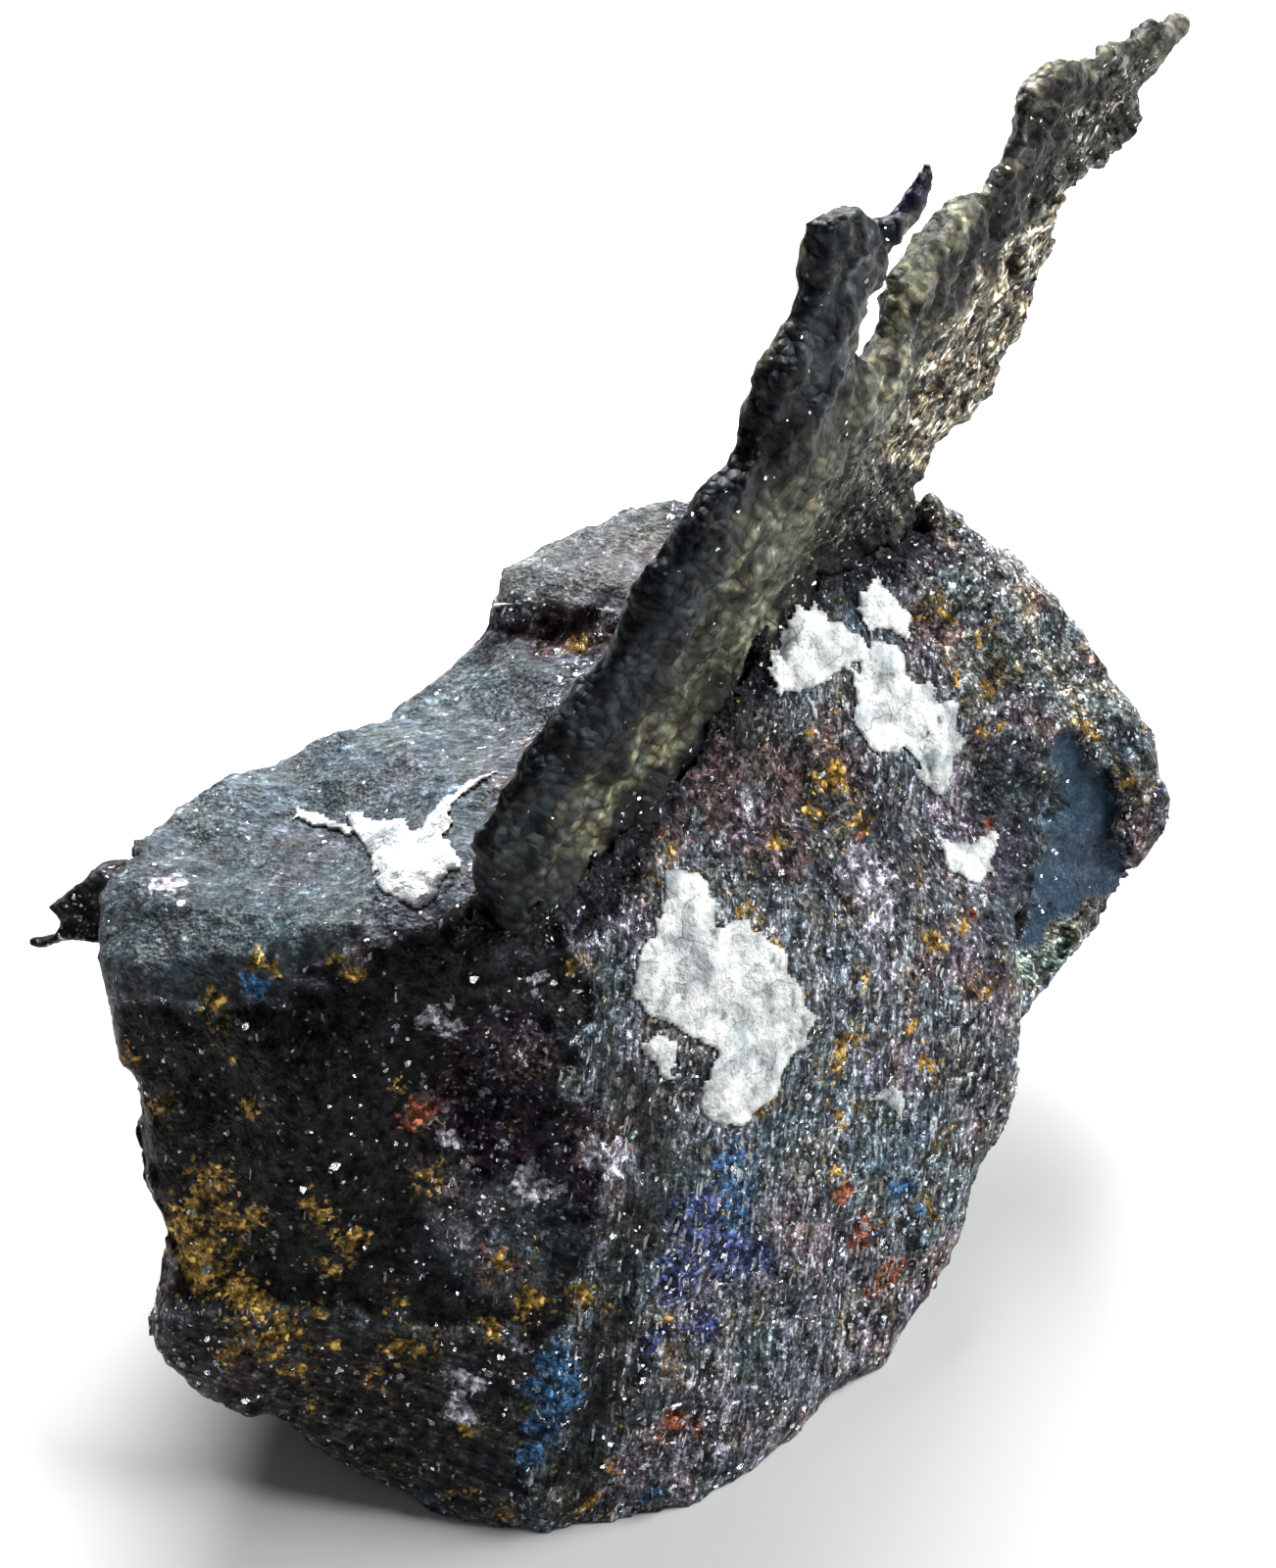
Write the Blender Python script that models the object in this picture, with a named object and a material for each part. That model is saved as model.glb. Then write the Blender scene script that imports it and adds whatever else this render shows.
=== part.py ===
"""Native silver on ore: a ragged sheet of tarnished silver standing on edge in a broken lump of dark
copper-sulphide ore, with bodies of white calcite set in the ore.

Lengths are metres, written as millimetres times MM. +Z is up, and -Y is the front, with the two broad
broken faces. The origin is on the small flat spot that the specimen rests on. The sheet's root runs from
the front left to the back right.
"""

import math

import bmesh
import bpy
import numpy as np
from mathutils import Matrix, Vector, noise

MM = 0.001
GAP = 0.3 * MM  # clearance between one piece and the next

# The ore's main corners, in millimetres. The crest is the line that the silver stands on.
CREST_FRONT = (-7.3, -5.8, 29.8)
CREST_MIDDLE = (1.8, 6.6, 29.2)
CREST_BACK = (14.1, 24.0, 29.8)
LEFT_TOP = (-24.8, -4.3, 23.4)
LEFT_END = (-25.7, 1.6, 24.0)
LEFT_MIDDLE = (-20.9, -9.6, 15.6)
LEFT_LOW = (-22.8, -14.8, 7.0)
RIDGE_MIDDLE = (-1.2, -10.9, 16.4)
RIGHT_BELLY = (19.5, 1.5, 10.4)
RIGHT_WAIST = (19.9, 5.2, 13.4)
LOBE_TOP = (16.2, 25.5, 27.9)
LOBE_TIP = (28.6, 13.9, 14.4)

# The lump's underside: the corners of the part that is cut off flat at z = 0, and the raised ones around it.
SPOT_DEPTH = -2.5  # how far the blocks run below the table before the flat spot is cut
SPOT = (
    (-9.0, -13.0),
    (-3.4, -20.2),
    (2.8, -19.2),
    (9.6, -13.2),
    (11.4, -4.0),
    (9.0, 9.0),
    (0.0, 12.5),
    (-8.0, 8.0),
)
UNDERSIDE = (
    (-12.0, -14.5, -1.6),
    (13.5, -7.0, -1.6),
    (15.6, 3.0, 0.6),
    (10.0, 15.0, 1.6),
    (-4.0, 17.0, 2.0),
    (-13.0, 5.0, 1.4),
) + tuple((x, y, SPOT_DEPTH) for x, y in SPOT)

# Each block of the lump is the convex hull of its corners.
FRONT_BLOCK = (
    CREST_FRONT,
    CREST_MIDDLE,
    LEFT_TOP,
    LEFT_END,
    LEFT_MIDDLE,
    LEFT_LOW,
    RIDGE_MIDDLE,
    RIGHT_BELLY,
    RIGHT_WAIST,
    (18.4, -0.5, 5.6),
    (-22.4, 6.4, 24.1),
    (-17.9, 9.7, 24.5),
    (-12.8, 12.3, 24.8),
    (-21.0, 5.0, 9.0),
    (-12.0, 12.0, 10.0),
    (10.0, 8.0, 8.0),
) + UNDERSIDE
BACK_BLOCK = (
    CREST_MIDDLE,
    CREST_BACK,
    RIGHT_WAIST,
    (-8.4, 17.4, 25.8),
    (-13.0, 12.4, 24.2),
    (-9.0, 22.0, 12.0),
    (3.0, 27.0, 13.0),
    (15.0, 26.0, 14.0),
    (10.0, 6.0, 8.0),
    (-4.0, 17.0, 2.0),
    (10.0, 15.0, 1.6),
)
UPPER_LEDGE = (
    (-7.5, 20.3, 28.3),
    (-8.0, 16.9, 27.5),
    (-2.8, 21.5, 29.3),
    (2.0, 23.9, 30.1),
    (0.0, 14.0, 29.4),
    (5.0, 13.0, 29.0),
    (12.0, 24.4, 29.8),
    (-4.0, 22.0, 18.0),
    (8.0, 25.0, 18.0),
    (4.0, 12.0, 18.0),
)
LOBE = (
    CREST_BACK,
    LOBE_TOP,
    LOBE_TIP,
    (21.3, 23.8, 23.2),
    (27.6, 19.3, 18.7),
    (22.3, 16.6, 20.6),
    (25.6, 12.5, 12.6),
    (24.2, 12.2, 10.8),
    (19.4, 8.0, 14.4),
    (13.0, 12.0, 21.5),
    (10.0, 14.0, 10.0),
    (23.0, 22.0, 9.0),
    (15.0, 26.0, 12.0),
)
LOBE_LEDGE = (
    (18.0, 5.0, 10.4),
    (22.2, 7.7, 9.6),
    (24.8, 10.4, 10.3),
    (26.0, 12.8, 10.4),
    (26.0, 15.0, 10.4),
    (22.0, 20.0, 11.0),
    (15.0, 4.0, 6.0),
    (14.0, 14.0, 4.0),
    (13.0, 17.0, 14.0),
)
DARK_KNOB = (
    (-11.8, -16.9, 1.2),
    (-9.2, -18.6, 1.0),
    (-7.4, -18.0, 3.4),
    (-11.6, -15.0, 3.6),
    (-8.0, -12.0, SPOT_DEPTH),
    (-12.2, -16.2, SPOT_DEPTH),
    (-10.6, -18.1, SPOT_DEPTH),
    (-8.0, -18.9, SPOT_DEPTH),
)
BLOCKS = (FRONT_BLOCK, BACK_BLOCK, UPPER_LEDGE, LOBE, LOBE_LEDGE, DARK_KNOB)

ORE_VOXEL = 0.8 * MM
ORE_SMOOTHING = 3
ORE_TRIANGLES = 5000

# The ore's lumps: the size of a lump and how far it stands out, from the largest down.
ORE_LUMPS = ((9.0 * MM, 0.5 * MM), (4.2 * MM, 0.7 * MM), (2.2 * MM, 0.4 * MM))
LUMP_SEED = Vector((3.1, 7.7, 1.3))

# Hollows and swells of the broken surface: centre, reach, and the push in the middle, all in millimetres.
DENTS = (
    ((-9.0, -8.6, 20.6), 5.2, (0.6, 1.5, -1.2)),  # the sparkling hollow in the front face
    ((-1.5, -8.0, 12.0), 3.6, (-0.2, 0.9, -0.7)),  # a shallow dish in the ridge
    ((17.6, 11.0, 19.6), 6.0, (-1.3, 1.4, -1.4)),  # the valley between the front mass and the lobe
    ((23.0, 13.0, 15.5), 4.6, (-1.6, 2.4, -0.6)),  # the dark recess under the lobe's edge
    ((-15.0, 3.0, 26.0), 8.0, (0.0, 0.0, -1.3)),  # the dip along the top
    ((12.4, 17.0, 28.2), 4.0, (-0.3, 0.3, -1.1)),  # the shadowed hollow beside the sheet
    ((-23.0, -7.5, 15.5), 7.0, (1.3, 0.3, 0.0)),  # the waist of the left end
    ((-15.0, -17.5, 3.2), 5.0, (0.1, 0.4, 0.3)),  # the undercut below the front face
    ((2.0, 27.0, 15.0), 7.0, (0.2, -1.8, 0.2)),  # a scoop in the hidden back
    ((-12.0, 17.0, 14.0), 6.0, (0.8, -1.2, -0.4)),
    ((24.0, 23.0, 15.0), 5.0, (-1.2, -1.2, 0.3)),
)
# Straight cracks: the two ends, the half width and the depth, in millimetres. Their sides run out softly to
# CREVICE_REACH half widths.
CREVICE_REACH = 2.2
CREVICES = (
    ((12.2, 18.6, 29.4), (15.6, 21.6, 28.6), 0.9, 2.2),  # the black slot beside the sheet's root
    ((-8.6, 15.8, 26.8), (0.6, 15.2, 29.0), 0.7, 1.0),  # the step on the top
    ((-22.6, -5.5, 23.4), (-12.4, -6.6, 25.6), 0.6, 0.6),  # the break at the top of the front face
    ((-6.6, -8.8, 24.6), (-3.4, -12.4, 13.4), 0.7, 0.7),  # the groove along the ridge
)

# The silver sheet's own axes: s along its root, n out of its front face, z up.
ROOT_START = (-7.4, -6.0)
ROOT_HEADING = math.atan2(0.8, 0.6)
ROOT_TOP = 29.4  # the ore's surface along the root, about
RIM_TOP = 46.0
# The rim of the sheet, as (s, z) in millimetres, from its front end over the top to its back end.
SHEET_RIM = (
    (0.7, 31.5),
    (0.7, 34.2),
    (1.5, 35.8),
    (2.8, 36.9),
    (4.7, 38.4),
    (6.3, 39.2),
    (8.2, 40.9),
    (8.4, 42.6),
    (8.8, 44.2),
    (10.7, 45.9),
    (11.3, 47.2),
    (12.7, 47.5),
    (14.7, 48.4),
    (15.5, 50.3),
    (15.6, 51.4),
    (16.6, 52.3),
    (18.1, 52.6),
    (18.7, 53.9),
    (18.6, 55.5),
    (19.4, 57.2),
    (20.2, 57.1),
    (22.3, 55.9),
    (24.4, 53.7),
    (24.9, 52.4),
    (23.4, 51.9),
    (22.2, 50.6),
    (22.8, 48.4),
    (24.0, 46.7),
    (25.6, 46.1),
    (27.1, 46.4),
    (28.2, 47.4),
    (29.4, 48.1),
    (33.7, 47.8),
    (38.3, 46.9),
    (40.0, 46.6),
    (41.7, 46.8),
    (42.4, 47.4),
    (42.3, 48.7),
    (43.2, 49.4),
    (44.9, 49.7),
    (47.1, 49.7),
    (49.4, 49.0),
    (54.8, 47.8),
    (56.8, 47.5),
    (59.7, 46.2),
    (58.0, 45.3),
    (56.4, 44.6),
    (55.3, 43.6),
    (54.8, 42.2),
    (52.3, 41.3),
    (50.0, 41.4),
    (48.1, 41.9),
    (46.5, 41.8),
    (47.5, 40.7),
    (47.9, 39.0),
    (46.3, 38.2),
    (46.4, 36.6),
    (45.0, 34.6),
    (42.6, 32.7),
    (39.5, 31.7),
    (36.2, 30.6),
)
# The sheet's bottom edge, sunk in the ore, as (s, z), from its back end to its front end.
SHEET_ROOT = ((35.4, 28.0), (34.6, 26.1), (30.0, 24.6), (6.0, 24.6), (3.0, 26.4), (1.5, 28.4))
# Curves along s are read through their tables in fine steps, each evened out with its neighbours.
CURVE_STEPS = 16  # for each entry of the table
CURVE_REACH = 8  # neighbours on each side
# How far the sheet's middle bows out of its plane at the root and at the rim, as (s, n).
ROOT_WAVE = (
    (-2.0, 0.0),
    (6.0, 0.8),
    (15.0, 0.1),
    (23.0, -1.3),
    (33.0, -0.9),
    (45.0, -0.3),
    (60.0, 0.0),
)
RIM_WAVE = (
    (-2.0, 0.3),
    (4.0, 1.4),
    (9.0, 2.9),
    (14.0, 4.0),
    (22.0, 3.9),
    (28.0, 2.4),
    (36.0, 0.6),
    (46.0, -0.3),
    (60.0, 0.0),
)
# The sheet's thickness along s.
SHEET_THICKNESS = (
    (-2.0, 1.8),
    (12.0, 2.2),
    (22.0, 2.4),
    (30.0, 1.8),
    (42.0, 1.3),
    (54.0, 1.1),
    (60.0, 0.7),
)
ROOT_THICKNESS = 2.0
ROOT_FADE = 2.0  # how far above the root the thickness changes from the one to the other
EDGE_TAPER = 1.6  # how far in from the rim the sheet starts to thin, in millimetres
EDGE_SHARE = 0.55  # the share of its thickness left at the very rim
EDGE_ROUNDING = 0.7  # below 1 the taper is rounded, at 1 it is a plain bevel
SLOT_STATIONS = 24
SLOT_HEIGHT = 5.0  # how far the bed's cutter stands up above the ore
SLOT_FLOOR = 1.5  # how far the bed runs below the root, in clearances, as the root's underside slopes
# The wire prong on the tab: its middle line as (s, z), its bow and its radius.
PRONG = ((22.6, 53.1), (24.5, 53.4), (25.6, 53.5), (26.5, 53.7), (26.9, 54.4), (27.4, 54.9), (27.8, 55.2))
PRONG_FREE = 25.0  # the s at which it leaves the tab
PRONG_BOW = 3.9
PRONG_RADIUS = 0.56
PRONG_TIP_RADIUS = 0.38
PRONG_SIDES = 10
PRONG_LUMPS = 0.3  # the share of the sheet's lumps that it has
SHEET_VOXEL = 0.46 * MM
SHEET_TRIANGLES = 2600
SHEET_LUMPS = ((5.0 * MM, 0.30 * MM), (2.4 * MM, 0.34 * MM))
# Pits and gashes in the sheet's front face: s, z, half length, half width, slope of the long way, depth.
SHEET_PITS = (
    (43.4, 39.3, 3.4, 0.7, 100.0, 0.9),
    (44.3, 42.6, 1.2, 0.7, 60.0, 0.7),
    (41.4, 37.2, 1.6, 0.9, 70.0, 0.5),
    (22.4, 47.6, 2.2, 1.3, 50.0, 0.6),
    (12.0, 39.0, 2.6, 1.2, 35.0, 0.6),
    (3.0, 33.4, 1.8, 1.1, 60.0, 0.5),
)

# The dip of the calcite bodies: they run down into the ore at 45 degrees from the front. On their outlines
# u is +X and v climbs the dip, counted from this point on the lump's middle.
DIP_CENTRE = Vector((0.0, 12.0, 20.0)) * MM
DIP_U = Vector((1.0, 0.0, 0.0))
DIP_V = Vector((0.0, math.sin(math.pi / 4), math.cos(math.pi / 4)))
DIP_DOWN = Vector((0.0, math.cos(math.pi / 4), -math.sin(math.pi / 4)))
CALCITE_DEPTH = 3.2 * MM
CALCITE_REACH = 9.0 * MM  # how far a cutter stands out in front of the surface
RAY_START = -60.0 * MM  # a depth well in front of the lump
SHARPEST_MITRE = 0.45  # the cosine that keeps the mitre of a grown outline's sharp corner short
CALCITES = {
    "calcite_front": (
        (1.4, -3.4),
        (2.9, -4.0),
        (3.9, -5.8),
        (5.8, -6.8),
        (7.0, -8.7),
        (8.3, -10.9),
        (7.0, -12.9),
        (6.3, -14.3),
        (4.1, -15.9),
        (3.2, -15.0),
        (3.4, -12.6),
        (2.3, -11.5),
        (0.2, -10.5),
        (0.0, -8.7),
        (0.7, -7.3),
        (0.8, -4.7),
    ),
    "calcite_chip": ((0.6, -11.6), (1.9, -12.2), (1.8, -13.6), (1.1, -14.0), (0.4, -12.9)),
    "calcite_middle": (
        (12.5, 7.1),
        (13.5, 5.9),
        (14.9, 4.2),
        (15.9, 3.7),
        (16.3, 1.5),
        (15.9, -0.9),
        (13.7, 0.5),
        (13.2, 1.7),
        (11.7, 1.7),
        (10.4, 2.7),
        (10.5, 3.9),
        (11.5, 5.2),
    ),
    "calcite_upper": (
        (7.2, 7.0),
        (8.4, 8.2),
        (10.8, 6.9),
        (10.4, 5.8),
        (9.4, 5.0),
        (7.8, 4.2),
        (6.5, 4.4),
        (6.1, 5.3),
    ),
    "calcite_crest": ((11.6, 10.2), (12.3, 9.2), (13.9, 8.3), (13.6, 7.8), (11.9, 7.9), (10.9, 8.6)),
    "calcite_right": ((15.5, -2.7), (16.8, -3.3), (18.3, -3.2), (18.1, -4.7), (16.6, -4.6), (15.6, -3.8)),
    "calcite_left": ((-12.5, -2.5), (-9.4, -2.1), (-8.9, -1.7), (-8.2, -3.9), (-10.1, -5.4), (-10.8, -5.1)),
}

# The ragged leaf at the left end, on the same u and v, with the depth of its middle.
SPUR_OUTLINE = (
    (-23.9, -3.9),
    (-25.1, -3.4),
    (-26.5, -4.5),
    (-27.1, -4.7),
    (-27.4, -5.3),
    (-28.4, -5.9),
    (-27.5, -6.4),
    (-27.7, -7.0),
    (-29.2, -7.4),
    (-28.9, -7.9),
    (-27.2, -7.5),
    (-25.4, -7.7),
    (-23.9, -7.3),
)
SPUR_DEPTH = -8.5
SPUR_THICKNESS = 1.1
SPUR_CLEARANCE = 0.5  # more than the gap, for the leaf's own lumps
SPUR_VOXEL = 0.3 * MM
SPUR_SMOOTHING = 2
SPUR_TRIANGLES = 360
SPUR_LUMPS = ((1.6 * MM, 0.22 * MM),)


def mm(point):
    """A point written in millimetres, as a vector in metres."""
    return Vector(point) * MM


def along(table, at):
    """Reads a smooth curve through the table's (place, value) pairs, at one place or at many."""
    places, values = np.array(table).T
    fine = np.linspace(places[0], places[-1], CURVE_STEPS * len(places))
    rough = np.interp(fine, places, values)
    window = 2 * CURVE_REACH + 1
    soft = np.convolve(np.pad(rough, CURVE_REACH, mode="edge"), np.full(window, 1 / window), mode="valid")
    return np.interp(at, fine, soft)


def hull_block(bm, corners):
    """Adds the convex hull of the corners, given in millimetres, to a bmesh."""
    made = [bm.verts.new(mm(corner)) for corner in corners]
    result = bmesh.ops.convex_hull(bm, input=made)
    spare = [item for item in result["geom_interior"] if isinstance(item, bmesh.types.BMVert)]
    bmesh.ops.delete(bm, geom=spare, context="VERTS")


def slab(bm, front, back):
    """Adds the closed solid between two copies of one outline."""
    near = [bm.verts.new(point) for point in front]
    far = [bm.verts.new(point) for point in back]
    bm.faces.new(near)
    bm.faces.new(far[::-1])
    for i, corner in enumerate(near):
        j = (i + 1) % len(near)
        bm.faces.new((near[j], corner, far[i], far[j]))


def new_object(name, bm):
    bmesh.ops.recalc_face_normals(bm, faces=bm.faces)
    mesh = bpy.data.meshes.new(name)
    bm.to_mesh(mesh)
    bm.free()
    made = bpy.data.objects.new(name, mesh)
    bpy.context.scene.collection.objects.link(made)
    return made


def copy_of(source, name):
    made = bpy.data.objects.new(name, source.data.copy())
    bpy.context.scene.collection.objects.link(made)
    return made


def bake_modifiers(target):
    """Replaces the object's mesh by what its modifiers make of it."""
    graph = bpy.context.evaluated_depsgraph_get()
    baked = bpy.data.meshes.new_from_object(target.evaluated_get(graph))
    target.modifiers.clear()
    spent = target.data
    target.data = baked
    bpy.data.meshes.remove(spent)


def remesh(target, voxel):
    step = target.modifiers.new("Voxels", "REMESH")
    step.mode = "VOXEL"
    step.voxel_size = voxel
    bake_modifiers(target)


def decimate(target, triangles):
    """Thins the mesh to about this many triangles."""
    target.data.calc_loop_triangles()
    step = target.modifiers.new("Facets", "DECIMATE")
    step.ratio = min(1.0, triangles / len(target.data.loop_triangles))
    step.use_collapse_triangulate = True
    bake_modifiers(target)


def boolean(target, tool, operation):
    """Cuts the tool from the target, joins them or keeps what they share, and removes the tool."""
    step = target.modifiers.new("Cut", "BOOLEAN")
    step.object = tool
    step.operation = operation
    bake_modifiers(target)


def smooth(target, rounds):
    bm = bmesh.new()
    bm.from_mesh(target.data)
    for _ in range(rounds):
        bmesh.ops.smooth_vert(
            bm, verts=bm.verts, factor=0.5, use_axis_x=True, use_axis_y=True, use_axis_z=True
        )
    bm.to_mesh(target.data)
    bm.free()


def move_points(target, mover):
    """Moves each point of the mesh to what mover(point, normal) returns."""
    moved = [mover(vertex.co.copy(), vertex.normal.copy()) for vertex in target.data.vertices]
    for vertex, place in zip(target.data.vertices, moved):
        vertex.co = place
    target.data.update()


def lumps(point, sizes):
    """The height of a lumpy surface at a point: noise of several sizes, added up."""
    return sum(height * noise.noise(point / size + LUMP_SEED) for size, height in sizes)


def fade(distance):
    """A soft bell from 1 in the middle to 0 at a distance of 1."""
    return (1 - distance * distance) ** 2 if distance < 1 else 0.0


def cut_flat(target, height=0.0):
    """Cuts the mesh off flat below a height and closes the cut."""
    bm = bmesh.new()
    bm.from_mesh(target.data)
    everything = bm.verts[:] + bm.edges[:] + bm.faces[:]
    bmesh.ops.bisect_plane(
        bm, geom=everything, plane_co=(0, 0, height), plane_no=(0, 0, -1), clear_outer=True
    )
    rim = [edge for edge in bm.edges if edge.is_boundary]
    bmesh.ops.holes_fill(bm, edges=rim, sides=0)
    bmesh.ops.triangulate(bm, faces=bm.faces)
    bm.to_mesh(target.data)
    bm.free()


def dented(point):
    """The point moved by every hollow and swell near it."""
    push = Vector()
    for centre, reach, depth in DENTS:
        push += mm(depth) * fade((point - mm(centre)).length / (reach * MM))
    return point + push


def cracked(point, normal):
    """The point sunk into any crevice that it lies over."""
    for start, end, half_width, depth in CREVICES:
        a = mm(start)
        run = mm(end) - a
        share = max(0.0, min(1.0, (point - a).dot(run) / run.length_squared))
        off = (point - a - run * share).length
        point = point - normal * depth * MM * fade(off / (CREVICE_REACH * half_width * MM))
    return point


def broken(point, normal):
    """The place of a point of the plain blocks on the broken, lumpy surface."""
    return cracked(dented(point), normal) + normal * lumps(point, ORE_LUMPS)


def ore_lump():
    """The whole lump, before anything is let into it."""
    bm = bmesh.new()
    for block in BLOCKS:
        hull_block(bm, block)
    lump = new_object("ore_matrix", bm)
    remesh(lump, ORE_VOXEL)
    smooth(lump, ORE_SMOOTHING)
    move_points(lump, broken)
    decimate(lump, ORE_TRIANGLES)
    cut_flat(lump)
    return lump


def sheet_point(s, n, z):
    """A place given on the sheet's axes in millimetres, in metres."""
    along_x, along_y = math.cos(ROOT_HEADING), math.sin(ROOT_HEADING)
    x = ROOT_START[0] + s * along_x + n * along_y
    y = ROOT_START[1] + s * along_y - n * along_x
    return mm((x, y, z))


def bow(s, z):
    """How far the sheet's middle stands out of its plane at a place, in millimetres."""
    rise = np.clip((z - ROOT_TOP) / (RIM_TOP - ROOT_TOP), 0, 1)
    rise = rise * rise * (3 - 2 * rise)
    return along(ROOT_WAVE, s) * (1 - rise) + along(RIM_WAVE, s) * rise


def distance_to_line(points, line):
    """The distance from each point to the nearest part of a bent line."""
    corners = np.array(line)
    nearest = np.full(len(points), np.inf)
    for a, b in zip(corners, corners[1:]):
        run = b - a
        share = np.clip((points - a) @ run / (run @ run), 0, 1)
        nearest = np.minimum(nearest, np.linalg.norm(points - a - share[:, None] * run, axis=1))
    return nearest


def prong_tube(bm):
    """The wire prong as a chain of short round pieces, flat in the sheet's own axes."""
    for i, ((s0, z0), (s1, z1)) in enumerate(zip(PRONG, PRONG[1:])):
        share = i / (len(PRONG) - 1)
        radius = PRONG_RADIUS + (PRONG_TIP_RADIUS - PRONG_RADIUS) * share
        run = Vector((s1 - s0, 0, z1 - z0))
        place = Matrix.Translation(mm(((s0 + s1) / 2, 0, (z0 + z1) / 2)))
        turn = run.to_track_quat("Z", "Y").to_matrix().to_4x4()
        bmesh.ops.create_cone(
            bm,
            cap_ends=True,
            segments=PRONG_SIDES,
            radius1=radius * MM,
            radius2=radius * MM,
            depth=(run.length + radius) * MM,
            matrix=place @ turn,
        )


def pitted(s, n, z):
    """The sheet's front face sunk into its pits and gashes."""
    for s0, z0, half_length, half_width, slope, depth in SHEET_PITS:
        turn = math.radians(slope)
        u = (s - s0) * math.cos(turn) + (z - z0) * math.sin(turn)
        v = -(s - s0) * math.sin(turn) + (z - z0) * math.cos(turn)
        far = np.hypot(u / half_length, v / half_width)
        n = n - np.where((n > 0) & (far < 1), depth * (1 - far**2) ** 2, 0)
    return n


def silver_sheet():
    """The sheet, made flat as (s, n, z), then thinned towards its rim, pitted, bowed and set in place."""
    half = ROOT_THICKNESS / 2
    outline = SHEET_RIM + SHEET_ROOT
    bm = bmesh.new()
    slab(bm, [mm((s, half, z)) for s, z in outline], [mm((s, -half, z)) for s, z in outline])
    bmesh.ops.recalc_face_normals(bm, faces=bm.faces)
    prong_tube(bm)
    sheet = new_object("silver_sheet", bm)
    remesh(sheet, SHEET_VOXEL)

    mesh = sheet.data
    flat = np.empty(len(mesh.vertices) * 3)
    mesh.vertices.foreach_get("co", flat)
    s, n, z = (flat.reshape(-1, 3) / MM).T
    places = np.stack([s, z], axis=1)
    on_prong = (distance_to_line(places, PRONG) < 2 * PRONG_RADIUS) & (s > PRONG_FREE)
    above = np.clip((z - ROOT_TOP) / ROOT_FADE, 0, 1)
    inside = distance_to_line(places, outline + outline[:1])
    taper = EDGE_SHARE + (1 - EDGE_SHARE) * np.clip(inside / EDGE_TAPER, 0, 1) ** EDGE_ROUNDING
    swell = 1 + (along(SHEET_THICKNESS, s) / ROOT_THICKNESS * taper - 1) * above
    n = np.where(on_prong, n + PRONG_BOW, pitted(s, n * swell, z) + bow(s, z))
    for i, vertex in enumerate(mesh.vertices):
        vertex.co = sheet_point(s[i], n[i], z[i])
    mesh.flip_normals()  # the sheet's axes are left-handed, so the move turns the faces inside out

    strength = above * np.where(on_prong, PRONG_LUMPS, 1.0)
    normals = [vertex.normal.copy() for vertex in mesh.vertices]
    for vertex, normal, share in zip(mesh.vertices, normals, strength):
        vertex.co = vertex.co + normal * lumps(vertex.co, SHEET_LUMPS) * float(share)
    mesh.update()
    decimate(sheet, SHEET_TRIANGLES)
    return sheet


def root_slot(grow):
    """The bed of the sheet's root, larger than the root by grow on every side, to cut with."""
    places, floor = np.array(SHEET_ROOT[::-1]).T
    stations = np.linspace(SHEET_RIM[0][0] - grow, SHEET_RIM[-1][0] + grow, SLOT_STATIONS)
    half = ROOT_THICKNESS / 2 + grow
    high = ROOT_TOP + SLOT_HEIGHT
    bm = bmesh.new()
    rings = []
    for s in stations:
        middle = float(bow(s, ROOT_TOP))
        low = float(np.interp(s, places, floor)) - SLOT_FLOOR * grow
        corners = ((half, low), (half, high), (-half, high), (-half, low))
        rings.append([bm.verts.new(sheet_point(s, middle + n, z)) for n, z in corners])
    for a, b in zip(rings, rings[1:]):
        for i in range(4):
            j = (i + 1) % 4
            bm.faces.new((a[i], a[j], b[j], b[i]))
    bm.faces.new(rings[0])
    bm.faces.new(rings[-1][::-1])
    return new_object("slot", bm)


def on_dip(u, v, w):
    """A place on the calcite bodies' axes, in metres."""
    return DIP_CENTRE + DIP_U * u + DIP_V * v + DIP_DOWN * w


def grown(outline, by):
    """The outline moved out by a distance, with mitred corners."""
    corners = [Vector(corner) for corner in outline]
    area = sum(a.x * b.y - a.y * b.x for a, b in zip(corners, corners[1:] + corners[:1]))
    side = 1 if area > 0 else -1
    moved = []
    for i, corner in enumerate(corners):
        before = (corner - corners[i - 1]).normalized()
        after = (corners[(i + 1) % len(corners)] - corner).normalized()
        out = Vector((before.y + after.y, -before.x - after.x)) * side
        cosine = out.length / 2
        moved.append(corner + out.normalized() * by / max(cosine, SHARPEST_MITRE))
    return moved


def surface_depth(lump, u, v):
    """How far down the dip the lump's surface lies under a place on the outline plane."""
    start = on_dip(u, v, RAY_START)
    found, place, _, _ = lump.ray_cast(start, DIP_DOWN)
    return (place - DIP_CENTRE).dot(DIP_DOWN) if found else 0.0


def dip_prism(name, outline, top, bottom):
    """A prism down the dip between two depths, on an outline in millimetres."""
    bm = bmesh.new()
    slab(
        bm,
        [on_dip(u * MM, v * MM, top) for u, v in outline],
        [on_dip(u * MM, v * MM, bottom) for u, v in outline],
    )
    return new_object(name, bm)


def set_in_calcites(lump):
    """Cuts each calcite body out of the lump, a gap smaller than the pocket that it leaves."""
    whole = copy_of(lump, "whole")
    made = []
    for name, outline in CALCITES.items():
        middle = np.mean(outline, axis=0) * MM
        surface = surface_depth(whole, *middle)
        top, bottom = surface - CALCITE_REACH, surface + CALCITE_DEPTH
        body = copy_of(whole, name)
        tool = dip_prism("tool", outline, top, bottom)
        boolean(body, tool, "INTERSECT")
        bpy.data.objects.remove(tool)
        pocket = dip_prism("tool", grown(outline, GAP / MM), top - GAP, bottom + GAP)
        boolean(lump, pocket, "DIFFERENCE")
        bpy.data.objects.remove(pocket)
        made.append(body)
    bpy.data.objects.remove(whole)
    return made


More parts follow.
